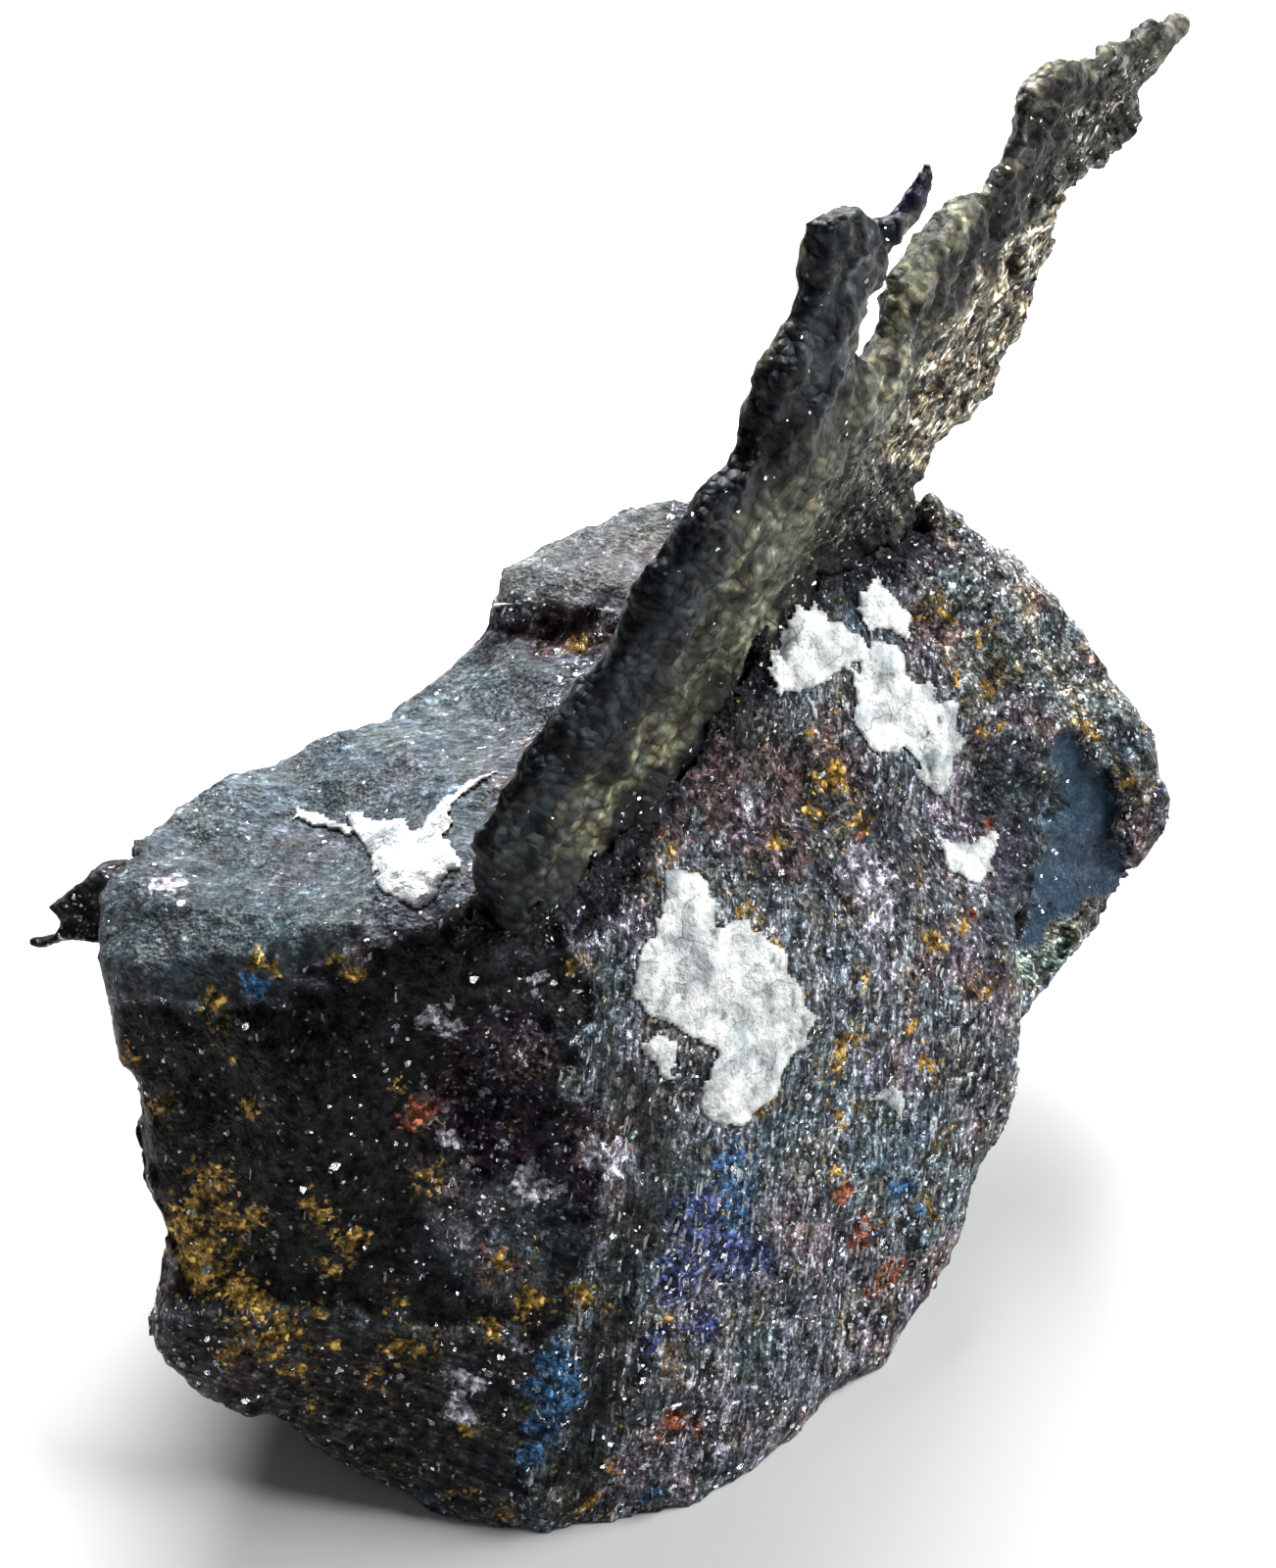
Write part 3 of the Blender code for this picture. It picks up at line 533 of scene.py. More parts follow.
# Each tint's spots, its colour, how much it stands out at most, and its spread as a multiple of the reach.
# The gold comes twice: as thin dust around its spots, and as the spots themselves.
TINTS = (
    (BRONZE, (0.150, 0.095, 0.095), 0.52, 1.15),
    (INDIGO, (0.045, 0.062, 0.170), 0.66, 1.15),
    (LILAC, (0.60, 0.58, 0.68), 0.74, 1.15),
    (AZURE, (0.055, 0.150, 0.310), 0.74, 1.15),
    (RUST, (0.34, 0.105, 0.050), 0.66, 1.15),
    (GOLD, (0.42, 0.255, 0.065), 0.30, 2.8),
    (GOLD, (0.46, 0.275, 0.065), 0.66, 1.15),
)
SPOT_REACH = 0.5  # how close on the picture a point of the ore has to be to a spot, in millimetres
SPOT_MARGIN = 0.3  # where none is, how much further than the nearest one
TINT_WOBBLE = Relief(1.0 * MM, 0.9 * MM)


def front_points(points, spots):
    """The frontmost point of the ore behind each spot of the picture."""
    places, depth = on_picture(points)
    found = []
    for right, up, _ in spots:
        off = np.hypot(places[:, 0] - right, places[:, 1] - up)
        near = off < SPOT_REACH
        if not near.any():
            near = off < off.min() + SPOT_MARGIN
        rows = np.flatnonzero(near)
        found.append(points[rows[np.argmin(depth[rows])]])
    return found


def tint_layer(points):
    """A colour for each point, with the share of the tint in its fourth number."""
    rgba = np.zeros((len(points), 4))
    wobble = np.stack([noise_at(points, TINT_WOBBLE.size, seed) for seed in (1.0, 2.0, 3.0)], axis=1)
    moved = points + wobble * TINT_WOBBLE.height
    for spots, colour, most, spread in TINTS:
        share = np.zeros(len(points))
        for (_, _, reach), place in zip(spots, front_points(points, spots)):
            far = np.linalg.norm(moved - place, axis=1) / (spread * reach * MM)
            share = np.maximum(share, most * np.exp(-(far**3)))
        stronger = share > rgba[:, 3]
        rgba[stronger, :3] = colour
        rgba[:, 3] = np.maximum(rgba[:, 3], share)
    return rgba


def plug_of(node):
    """A calcite body swollen to close the gap around it, and sunk so that it stays below the surface."""
    plug = copy_of(node, "plug")
    bm = bmesh.new()
    bm.from_mesh(plug.data)
    for vertex in bm.verts:
        vertex.co += vertex.normal * vertex.calc_shell_factor() * PLUG_SWELL + LOOKING * PLUG_SWELL
    bm.to_mesh(plug.data)
    bm.free()
    return plug


def foot_share(points, sheet_node):
    """How near each point in front of the sheet is to its foot, from 0 to 1."""
    sheet_tree = BVHTree.FromObject(sheet_node, bpy.context.evaluated_depsgraph_get())
    front = sheet_axes(points)[:, 1] > 0
    share = np.zeros(len(points))
    for i in np.flatnonzero(front & (points[:, 2] > ROOT_TOP - FOOT_DEPTH)):
        _, _, _, gap = sheet_tree.find_nearest(Vector(points[i]), FOOT_REACH)
        if gap is not None:
            share[i] = 1 - gap / FOOT_REACH
    return share


def paint_foot_shade(body, share):
    """Darkens the crumbly strip where the ore meets the sheet's front face with painted shade, for the shade
    of the crevice there.
    """
    for name, values in (("ground", (*FOOT_SHADE_COLOUR, 1.0)), ("finish", FOOT_FINISH)):
        layer = body.data.attributes[name]
        stored = np.empty(len(share) * 4, np.float32)
        layer.data.foreach_get("color", stored)
        stored = stored.reshape(-1, 4)
        stored += soft_step(0.2, 0.7, share)[:, None] * (np.array(values) - stored)
        layer.data.foreach_set("color", np.ascontiguousarray(stored, np.float32).ravel())


def broken(points, normals, smooth, above):
    """The ore's points moved into chips and flat facets, less where the surface is smooth."""
    large, small = ORE_LARGE_CHIPS, ORE_SMALL_CHIPS
    height = large.height * chipped_at(points, large.size) * (1 - 0.6 * smooth)
    height += small.height * chipped_at(points, small.size, 5.0) * (1 - 0.8 * smooth)
    moved = points + normals * (height * above)[:, None]
    moved = fractured(moved, normals, ORE_LARGE_FACETS, 0.85)
    moved = fractured(moved, normals, ORE_SMALL_FACETS, 0.6)
    return points + (moved - points) * above[:, None]


def ore_grain(points, smooth, down, across):
    """The height of the fine ridges, bumps, grains and streaks on the ore."""
    ridges = ridged_at(points, ORE_RIDGES.size, 4, 9.0) * (1 - 0.9 * smooth)
    bumps = noise_at(points, ORE_BUMPS.size, 7.0) * (1 - 0.8 * smooth)
    grains = noise_at(points, ORE_GRAINS.size, 11.0) * (1 - 0.6 * smooth)
    height = ORE_RIDGES.height * ridges + ORE_BUMPS.height * bumps + ORE_GRAINS.height * grains
    running_down = along(points, DOWN_STREAKS, ORE_STREAK_STRETCH)
    running_across = along(points, CROSS_STREAKS, ORE_STREAK_STRETCH)
    height += ORE_DOWN.height * ridged_at(running_down, ORE_DOWN.size, 2, 51.0) * down
    height += ORE_ACROSS.height * ridged_at(running_across, ORE_ACROSS.size, 2, 53.0) * across
    return height


def ore_body(nodes):
    """The whole lump: the ore with its pockets closed, broken into chips and grains."""
    plugs = [plug_of(nodes[name]) for name in CALCITES]
    body = remeshed(joined([copy_of(nodes["ore_matrix"], "ore_body")] + plugs), ORE_VOXEL)
    smoothed(body, 2)
    points, normals = points_of(body), normals_of(body)
    shares = zone_shares(points, normals, ORE_ZONES)
    painted(body, ORE_ZONES, shares, ORE_GROUND, ORE_SHADED_BACK)
    foot = foot_share(points, nodes["silver_sheet"])
    paint_foot_shade(body, foot)

    smooth = zone_values(ORE_ZONES, shares, 0.0, lambda zone: max(0.0, 1.0 - zone.finish[0]))
    down = zone_values(ORE_ZONES, shares, ORE_GROUND.finish[1], lambda zone: zone.finish[1])
    across = zone_values(ORE_ZONES, shares, 0.0, lambda zone: zone.finish[2])
    above = soft_step(*RESTING_BAND, points[:, 2])
    points = broken(points, normals, smooth, above)
    for zone, share in zip(ORE_ZONES, shares):
        if zone.flat:
            points = flattened(points, normals, share, zone.flat)
    places, _ = on_picture(points)
    press = 1 - soft_step(0.0, PRESSED_REACH, np.linalg.norm(places - PRESSED, axis=1))
    points[:, 0] += PRESSED_BY * press
    points[:, 2] += FOOT_RISE * foot * (1 + 0.5 * noise_at(points, FOOT_BUMPS, 71.0))
    height = ore_grain(points, smooth, down, across)
    points = points + normals * (height * above)[:, None]
    for zone, share in zip(ORE_ZONES, shares):
        points += np.array(LOOKING) * (zone.sunk * MM * share * above)[:, None]
    points[:, 2] = np.maximum(points[:, 2], 0.0)
    set_points(body, points)
    return shaded_smooth(body)


# Materials


class Shade:
    """A material's nodes, with a short call for each kind that the materials share."""

    def __init__(self, name):
        self.material = bpy.data.materials.new(name)
        self.material.use_nodes = True
        self.tree = self.material.node_tree
        self.shader = self.tree.nodes["Principled BSDF"]
        coordinates = self.tree.nodes.new("ShaderNodeTexCoord")
        self.place = coordinates.outputs["Object"]

    def node(self, kind, settings=(), **inputs):
        made = self.tree.nodes.new(kind)
        for key, value in dict(settings).items():
            setattr(made, key, value)
        for key, value in inputs.items():
            self.feed(made.inputs[key.replace("_", " ")], value)
        return made

    def feed(self, socket, value):
        """Links another node's output to the socket, or sets the socket's own value."""
        if isinstance(value, bpy.types.NodeSocket):
            self.tree.links.new(value, socket)
        elif socket.type == "RGBA" and len(value) == 3:
            socket.default_value = (*value, 1.0)
        else:
            socket.default_value = value

    def set(self, **inputs):
        for key, value in inputs.items():
            self.feed(self.shader.inputs[key.replace("_", " ")], value)

    def math(self, operation, a, b=0.0, clamp=False):
        made = self.node("ShaderNodeMath", {"operation": operation, "use_clamp": clamp})
        self.feed(made.inputs[0], a)
        self.feed(made.inputs[1], b)
        return made.outputs[0]

    def add(self, a, b, clamp=False):
        return self.math("ADD", a, b, clamp)

    def multiply(self, a, b):
        return self.math("MULTIPLY", a, b)

    def vector(self, operation, a, b=(0.0, 0.0, 0.0), scale=None):
        made = self.node("ShaderNodeVectorMath", {"operation": operation})
        self.feed(made.inputs[0], a)
        self.feed(made.inputs[1], b)
        if scale is not None:
            self.feed(made.inputs["Scale"], scale)
        return made.outputs[0]

    def noise(self, size, detail=2.0, rough=0.5, place=None):
        """Noise with bumps of about one size, in metres."""
        place = place or self.place
        made = self.node("ShaderNodeTexNoise", Vector=place, Scale=1 / size, Detail=detail, Roughness=rough)
        return made.outputs["Fac"]

    def wobbled(self, size, by, place=None):
        """The place moved about by noise."""
        place = place or self.place
        made = self.node("ShaderNodeTexNoise", Vector=place, Scale=1 / size, Detail=2.0)
        push = self.vector("SUBTRACT", made.outputs["Color"], (0.5, 0.5, 0.5))
        return self.vector("ADD", place, self.vector("SCALE", push, scale=by))

    def drawn_out(self, heading, stretch, place=None):
        """The place drawn together along one heading, so that a pattern there runs out in streaks."""
        place = place or self.place
        heading = tuple(heading.normalized())
        run = self.node("ShaderNodeVectorMath", {"operation": "DOT_PRODUCT"})
        self.feed(run.inputs[0], place)
        self.feed(run.inputs[1], heading)
        pull = self.multiply(run.outputs["Value"], 1 / stretch - 1)
        return self.vector("ADD", place, self.vector("SCALE", heading, scale=pull))

    def cells(self, size, place=None):
        """Cells of about one size: how far each place is from its cell's middle, and a random colour."""
        made = self.node("ShaderNodeTexVoronoi", Vector=place or self.place, Scale=1 / size)
        return made.outputs["Distance"], made.outputs["Color"]

    def few_cells(self, random, share):
        """1 in the few cells whose random number comes within the share of 1, otherwise 0."""
        return self.math("GREATER_THAN", self.add(random, share), 1.0)

    def ramp(self, value, *stops):
        """A colour or a grey for each value, from stops of (value, colour or grey)."""
        made = self.node("ShaderNodeValToRGB", Fac=value)
        marks = made.color_ramp.elements
        while len(marks) < len(stops):
            marks.new(0.5)
        for mark, (at, colour) in zip(marks, stops):
            mark.position = at
            mark.color = (*colour, 1.0) if isinstance(colour, tuple) else (colour, colour, colour, 1.0)
        return made.outputs["Color"]

    def range(self, value, low, high, to_low=0.0, to_high=1.0):
        """The value from low to high turned smoothly into one between two others."""
        made = self.node("ShaderNodeMapRange", {"interpolation_type": "SMOOTHSTEP"})
        ends = {"From Min": low, "From Max": high, "To Min": to_low, "To Max": to_high}
        for socket, number in ends.items():
            made.inputs[socket].default_value = number
        self.feed(made.inputs["Value"], value)
        return made.outputs[0]

    def mix(self, share, a, b, how="MIX"):
        made = self.node("ShaderNodeMix", {"data_type": "RGBA", "blend_type": how, "clamp_result": False})
        self.feed(made.inputs[0], share)
        self.feed(made.inputs[6], a)
        self.feed(made.inputs[7], b)
        return made.outputs[2]

    def times(self, a, b):
        """One colour multiplied by another."""
        return self.mix(1.0, a, b, "MULTIPLY")

    def faded(self, share, tone):
        """The tone where the share is 1, and no change where it is 0."""
        return self.mix(share, (1.0, 1.0, 1.0), tone)

    def blend(self, share, a, b):
        """One number or the other."""
        made = self.node("ShaderNodeMix", {"data_type": "FLOAT"})
        self.feed(made.inputs[0], share)
        self.feed(made.inputs[2], a)
        self.feed(made.inputs[3], b)
        return made.outputs[0]

    def split(self, colour):
        made = self.node("ShaderNodeSeparateColor", Color=colour)
        return made.outputs[0], made.outputs[1], made.outputs[2]

    def layer(self, name):
        """What is stored at the piece's points under a name."""
        return self.node("ShaderNodeAttribute", {"attribute_name": name})

    def bump(self, height, depth, strength):
        """The surface's normal, tipped by the slope of a height."""
        surface_normal = self.node("ShaderNodeNewGeometry").outputs["Normal"]
        made = self.node("ShaderNodeBump", Height=height, Distance=depth, Strength=strength)
        self.feed(made.inputs["Normal"], surface_normal)
        return made.outputs[0]

    def tilted(self, colour, by, normal):
        """The normal tilted at random, the same way all over each cell of a pattern."""
        tilt = self.vector("SUBTRACT", colour, (0.5, 0.5, 0.5))
        return self.vector("NORMALIZE", self.vector("ADD", normal, self.vector("SCALE", tilt, scale=by)))


# What share of the ore's cells sparkle, for a finish with glints of 1.
ORE_SMALL_GLINTS = 0.040
ORE_LARGE_GLINTS = 0.014
ORE_DASH_GLINTS = 0.055
STRAY_GOLD = (0.40, 0.26, 0.07)
ORE_PAINTED_STRETCH = 9.0
ORE_BUMP_DEPTH = 0.55 * MM


def ore_material():
    """Dark sulphide ore: the stored ground colour broken into grains, streaks and glints, and the tints."""
    shade = Shade("ore_surface")
    ground = shade.layer("ground").outputs["Color"]
    finish = shade.layer("finish")
    grain, down, across = shade.split(finish.outputs["Color"])
    glints = finish.outputs["Alpha"]

    # the patterns, from coarse to fine
    drift = shade.noise(5.0 * MM)
    warped = shade.wobbled(1.4 * MM, 0.9 * MM)
    lumps = shade.noise(2.4 * MM, 5.0, 0.6, warped)
    rusting = shade.noise(2.2 * MM, 3.0, 0.55, warped)
    relief = shade.noise(0.60 * MM, 6.0, 0.66)
    slight = shade.wobbled(1.8 * MM, 0.5 * MM)
    downwards = shade.drawn_out(DOWN_STREAKS, ORE_PAINTED_STRETCH, slight)
    sideways = shade.drawn_out(CROSS_STREAKS, ORE_PAINTED_STRETCH, slight)
    down_streak = shade.noise(0.30 * MM, 3.0, 0.66, downwards)
    cross_streak = shade.noise(0.30 * MM, 3.0, 0.66, sideways)
    fine = shade.wobbled(0.4 * MM, 0.25 * MM)
    _, flake = shade.cells(0.30 * MM, fine)
    _, flake_g, flake_b = shade.split(flake)
    grain_far, facet = shade.cells(0.24 * MM, shade.wobbled(0.5 * MM, 0.3 * MM))
    facet_r, facet_g, facet_b = shade.split(facet)
    _, speck = shade.cells(0.15 * MM, fine)
    speck_r, speck_g, speck_b = shade.split(speck)
    _, dash = shade.cells(0.12 * MM, shade.drawn_out(DOWN_STREAKS, 5.0, slight))
    dash_r, dash_g, _ = shade.split(dash)

    # how light or dark the ground is in them
    # darker where the relief is low: painted shade in the hollows between the grains
    depth = shade.ramp(relief, (0.38, 0.28), (0.46, 0.65), (0.52, 1.0), (0.58, 1.5), (0.68, 2.4))
    crisp = shade.ramp(facet_r, (0.0, 0.45), (0.5, 0.80), (0.80, 1.2), (0.92, 2.4), (1.0, 4.0))
    tone = shade.faded(grain, shade.times(depth, crisp))
    clumped = shade.add(shade.multiply(grain, 0.7), 0.2, clamp=True)
    clumps = shade.ramp(lumps, (0.36, 0.35), (0.50, 1.0), (0.64, 1.9))
    tone = shade.times(tone, shade.faded(clumped, clumps))
    for share, streak in ((down, down_streak), (across, cross_streak)):
        stripes = shade.ramp(streak, (0.36, 0.25), (0.46, 0.65), (0.52, 1.1), (0.58, 2.0), (0.68, 4.2))
        tone = shade.times(tone, shade.faded(share, stripes))
    colour = shade.times(ground, tone)

    # a slight change of colour from place to place
    cooler, warmer = (0.74, 1.02, 1.10), (1.26, 0.90, 1.06)
    tinge = shade.ramp(drift, (0.35, cooler), (0.50, (0.98, 1.0, 1.02)), (0.65, warmer))
    colour = shade.mix(clumped, colour, shade.times(colour, tinge))
    cooler, warmer = (0.86, 1.0, 1.14), (1.22, 1.0, 0.78)
    tinge = shade.ramp(rusting, (0.38, cooler), (0.52, (1.0, 1.0, 1.0)), (0.64, warmer))
    colour = shade.mix(clumped, colour, shade.times(colour, tinge))
    pale = shade.ramp(speck_r, (0.0, 0.45), (0.5, 0.9), (0.86, 1.3), (1.0, 2.6))
    colour = shade.times(colour, shade.faded(clumped, pale))

    # the tarnish and the other minerals, broken up by facets, with stray flecks of gold
    tint = shade.layer("tint")
    crumb = shade.add(shade.multiply(facet_b, 0.34), shade.multiply(lumps, 0.50))
    share = shade.range(shade.math("SUBTRACT", tint.outputs["Alpha"], crumb), -0.10, 0.08)
    tinted = shade.times(tint.outputs["Color"], shade.ramp(relief, (0.40, 0.15), (0.5, 0.6), (0.60, 1.6)))
    tinted = shade.times(tinted, shade.ramp(facet_g, (0.0, 0.25), (0.5, 0.8), (0.85, 1.5), (1.0, 3.5)))
    colour = shade.mix(share, colour, tinted)
    stray = shade.multiply(shade.range(speck_g, 0.975, 0.98), shade.range(rusting, 0.50, 0.60))
    stray = shade.multiply(stray, shade.range(grain, 0.5, 0.7))
    colour = shade.mix(stray, colour, STRAY_GOLD)

    # the glints, and the pale dashes, which are painted glints
    small = shade.few_cells(speck_b, shade.multiply(glints, ORE_SMALL_GLINTS))
    large = shade.few_cells(flake_b, shade.multiply(glints, ORE_LARGE_GLINTS))
    glint = shade.math("MAXIMUM", small, large)
    dashed = shade.few_cells(dash_r, shade.multiply(shade.multiply(down, glints), ORE_DASH_GLINTS))
    painted_dash_glint = shade.ramp(dash_g, (0.0, 0.16), (0.6, 0.36), (1.0, 0.75))
    colour = shade.mix(dashed, colour, shade.times(painted_dash_glint, (0.92, 0.96, 1.0)))
    spark = shade.ramp(shade.blend(large, speck_g, flake_g), (0.0, 0.10), (0.6, 0.35), (1.0, 1.0))
    colour = shade.mix(glint, colour, shade.times(spark, (0.86, 0.92, 1.0)))

    streaks = shade.add(shade.multiply(down_streak, down), shade.multiply(cross_streak, across))
    height = shade.add(relief, shade.multiply(streaks, 0.5))
    height = shade.add(height, shade.multiply(grain_far, -0.35))
    rough = shade.add(shade.multiply(grain, 0.75), 0.25)
    normal = shade.bump(height, ORE_BUMP_DEPTH, rough)
    normal = shade.tilted(facet, shade.multiply(grain, 0.55), normal)
    normal = shade.tilted(shade.mix(large, speck, flake), shade.blend(glint, 0.20, 0.9), normal)
    shade.set(
        Base_Color=colour,
        Metallic=shade.blend(glint, shade.blend(share, 0.0, 0.35), 1.0),
        Roughness=shade.blend(glint, 0.40, 0.12),
        Specular_IOR_Level=shade.range(relief, 0.36, 0.66, 0.06, 0.34),
        Normal=normal,
    )
    return shade.material


def calcite_material():
    """White milky calcite: grey clouds, hairline dark veins, small pits and cleavage faces."""
    shade = Shade("calcite_surface")
    warped = shade.wobbled(1.0 * MM, 0.7 * MM)
    cloud = shade.noise(1.8 * MM, 4.0, 0.6, warped)
    grey, dull, white = (0.32, 0.36, 0.37), (0.56, 0.59, 0.59), (0.78, 0.795, 0.785)
    colour = shade.ramp(cloud, (0.34, grey), (0.46, dull), (0.60, white))
    to_edge = {"feature": "DISTANCE_TO_EDGE"}
    crack = shade.node("ShaderNodeTexVoronoi", to_edge, Vector=warped, Scale=1 / (2.6 * MM))
    vein = shade.range(crack.outputs["Distance"], 0.0, 0.02, 0.45, 1.0)
    vein = shade.blend(shade.range(cloud, 0.46, 0.52), vein, 1.0)
    pits = shade.noise(0.22 * MM, 3.0, 0.6)
    vein = shade.multiply(vein, shade.range(pits, 0.34, 0.44, 0.62, 1.0))
    rim = shade.layer("rim").outputs["Fac"]
    vein = shade.multiply(vein, shade.range(rim, 0.0, 1.0, 1.0, 0.55))
    _, cleavage = shade.cells(0.9 * MM, warped)
    normal = shade.bump(shade.noise(0.4 * MM, 4.0, 0.6), 0.22 * MM, 0.8)
    shade.set(
        Base_Color=shade.times(colour, vein),
        Roughness=0.45,
        Specular_IOR_Level=0.4,
        Subsurface_Weight=0.15,
        Subsurface_Scale=0.4 * MM,
        Normal=shade.tilted(cleavage, 0.45, normal),
    )
    return shade.material


SILVER_GLINTS = 0.045
SILVER_BUMP_DEPTH = 0.50 * MM
# The pebbles run out along the sheet's root and down.
PEBBLE_HEADING = ALONG_ROOT - Vector((0, 0, 1))
FIBRES = Vector((0.50, 0.66, 0.56))


def silver_material():
    """Tarnished silver: olive over blue-black, pitted, with short bright dashes, painted highlights, where
    it is torn.
    """
    shade = Shade("silver_surface")
    ground = shade.layer("ground").outputs["Color"]
    finish = shade.layer("finish")
    _, hackle, _ = shade.split(finish.outputs["Color"])
    glints = finish.outputs["Alpha"]

    # the patterns, from coarse to fine
    mottle = shade.noise(2.0 * MM, 1.0)
    tear = shade.noise(0.5 * MM, 4.0, 0.66, shade.drawn_out(FIBRES, 3.0))
    relief = shade.noise(0.42 * MM, 6.0, 0.70)
    pebbled = shade.drawn_out(PEBBLE_HEADING, 2.2, shade.wobbled(1.1 * MM, 0.30 * MM))
    pebble_far, pebble = shade.cells(0.52 * MM, pebbled)
    pebble_r, _, _ = shade.split(pebble)
    pit_far, _ = shade.cells(0.26 * MM, pebbled)
    fibrous = shade.drawn_out(FIBRES, 3.6, shade.wobbled(0.9 * MM, 0.15 * MM))
    dash_far, dash = shade.cells(0.20 * MM, fibrous)
    dash_r, _, _ = shade.split(dash)
    _, speck = shade.cells(0.15 * MM)
    _, speck_g, speck_b = shade.split(speck)

    # how light or dark the ground is in them
    tone = shade.ramp(mottle, (0.38, 0.45), (0.46, 0.80), (0.54, 1.15), (0.64, 1.6))
    # lighter in each pebble's middle and darker between pebbles: painted highlight and painted shade
    tone = shade.times(tone, shade.ramp(pebble_far, (0.0, 1.6), (0.35, 1.1), (0.70, 0.40)))
    tone = shade.times(tone, shade.ramp(pebble_r, (0.0, 0.55), (0.6, 1.0), (1.0, 1.9)))
    # darker at the edges of small cells and where the relief is low: painted shade
    soft = shade.ramp(pit_far, (0.0, 1.3), (0.4, 1.0), (0.75, 0.60))
    fine = shade.ramp(relief, (0.36, 0.18), (0.46, 0.65), (0.54, 1.2), (0.64, 2.4))
    tone = shade.times(tone, shade.mix(hackle, soft, fine))
    # bright short dashes where the silver is torn: painted highlights
    painted_hair_glints = shade.ramp(dash_r, (0.0, 0.22), (0.45, 0.65), (0.8, 1.3), (1.0, 4.2))
    painted_hair_glints = shade.times(painted_hair_glints, shade.ramp(tear, (0.38, 0.18), (0.5, 0.9), (0.62, 2.0)))
    tone = shade.times(tone, shade.faded(hackle, painted_hair_glints))
    patch = shade.ramp(shade.noise(5.0 * MM, 2.0, 0.6), (0.36, 0.55), (0.50, 1.0), (0.64, 1.5))
    tone = shade.times(tone, patch)
    warm = shade.ramp(shade.noise(1.2 * MM, 3.0), (0.4, (0.92, 1.0, 1.04)), (0.6, (1.12, 1.0, 0.84)))
    colour = shade.times(shade.times(ground, warm), tone)
    glint = shade.few_cells(speck_b, shade.multiply(glints, SILVER_GLINTS))
    spark = shade.ramp(speck_g, (0.0, 0.10), (0.6, 0.35), (1.0, 0.9))
    colour = shade.mix(glint, colour, spark)

    torn = shade.add(shade.multiply(dash_far, -0.5), tear)
    height = shade.multiply(relief, shade.blend(hackle, 0.08, 1.0))
    height = shade.add(height, shade.multiply(torn, hackle))
    height = shade.add(height, shade.multiply(mottle, 0.8))
    height = shade.add(height, shade.multiply(pebble_far, -0.45))
    normal = shade.bump(height, SILVER_BUMP_DEPTH, 1.0)
    normal = shade.tilted(dash, shade.multiply(hackle, 0.7), normal)
    normal = shade.tilted(speck, shade.blend(glint, 0.15, 0.9), normal)
    shade.set(
        Base_Color=colour,
        Metallic=shade.blend(glint, 0.1, 1.0),
        Roughness=shade.blend(glint, 0.42, 0.14),
        Specular_IOR_Level=shade.blend(hackle, 0.12, shade.range(relief, 0.42, 0.60, 0.03, 0.35)),
        Normal=normal,
    )
    return shade.material


def floor_material():
    """A smooth pale table, almost white."""
    shade = Shade("pale_table")
    cloud = shade.noise(60.0 * MM)
    pale = shade.ramp(cloud, (0.3, (0.53, 0.54, 0.535)), (0.7, (0.56, 0.57, 0.565)))
    shade.set(Base_Color=pale, Roughness=0.6, Specular_IOR_Level=0.2)
    return shade.material


# Calcite

CALCITE_STEP = 0.14  # the spacing of the points on a calcite face, in millimetres
CALCITE_SPREAD = 0.20  # how far a calcite face reaches over the outline given here, in millimetres
# how proud a calcite face stands at its rim, how much more inside it, and how far in, all in millimetres
CALCITE_RISE = (0.03, 0.17)
CALCITE_RISE_WITHIN = 0.5
CALCITE_RIM = 0.35  # the width of the darker rim, in millimetres
CALCITE_WANDER = Relief(1.3 * MM, 0.5)  # the edge's wandering and chipping, the heights in millimetres
CALCITE_CHIPPING = Relief(0.8 * MM, 0.35)
CALCITE_BUMPS = Relief(0.8 * MM, 0.10 * MM)
CALCITE_SKIRT = 0.5 * MM  # how far the edge reaches down into the ore
CALCITE_START = 60  # how far before the lump's middle the search for the surface starts, in millimetres
FLECK_RAGGED = 0.35

CALCITES = {
    "calcite_front": (
        (1.4, -4.0), (3.1, -4.7), (3.4, -7.0), (5.2, -6.5), (6.8, -8.4), (8.3, -11.4), (7.1, -13.4),
        (6.4, -14.9), (4.5, -16.3), (3.1, -15.1), (3.3, -13.8), (3.9, -12.5), (2.1, -11.5), (-0.2, -9.7),
        (0.5, -7.7), (1.0, -5.7),
    ),
    "calcite_chip": ((0.8, -11.5), (1.9, -11.9), (1.7, -13.8), (1.0, -13.6), (0.5, -12.7)),
    "calcite_middle": (
        (11.9, 7.4), (12.9, 6.8), (13.5, 5.8), (14.7, 4.8), (16.0, 3.6), (16.3, 2.2), (16.0, 0.6),
        (15.5, -0.8), (14.5, 0.0), (13.4, 1.8), (12.0, 1.6), (10.6, 2.8), (10.5, 4.4), (11.2, 6.2),
    ),
    "calcite_upper": (
        (7.6, 8.4), (8.6, 8.6), (11.4, 7.0), (11.3, 6.2), (9.4, 5.4), (8.4, 4.4), (6.6, 4.6), (6.2, 6.0),
        (7.0, 7.4),
    ),
    "calcite_crest": (
        (11.8, 10.2), (12.8, 9.2), (13.8, 8.6), (13.6, 7.4), (12.6, 8.0), (11.6, 7.6), (11.0, 8.6),
        (11.2, 9.6),
    ),
    "calcite_right": ((15.2, -2.5), (16.4, -3.1), (18.3, -2.8), (18.3, -4.8), (16.4, -4.7), (15.4, -4.0)),
    "calcite_left": (
        (-13.8, -1.6), (-12.2, -2.0), (-10.2, -1.8), (-9.0, -1.2), (-8.2, -3.7), (-9.6, -5.4),
        (-10.6, -5.2), (-12.0, -3.8),
    ),
}

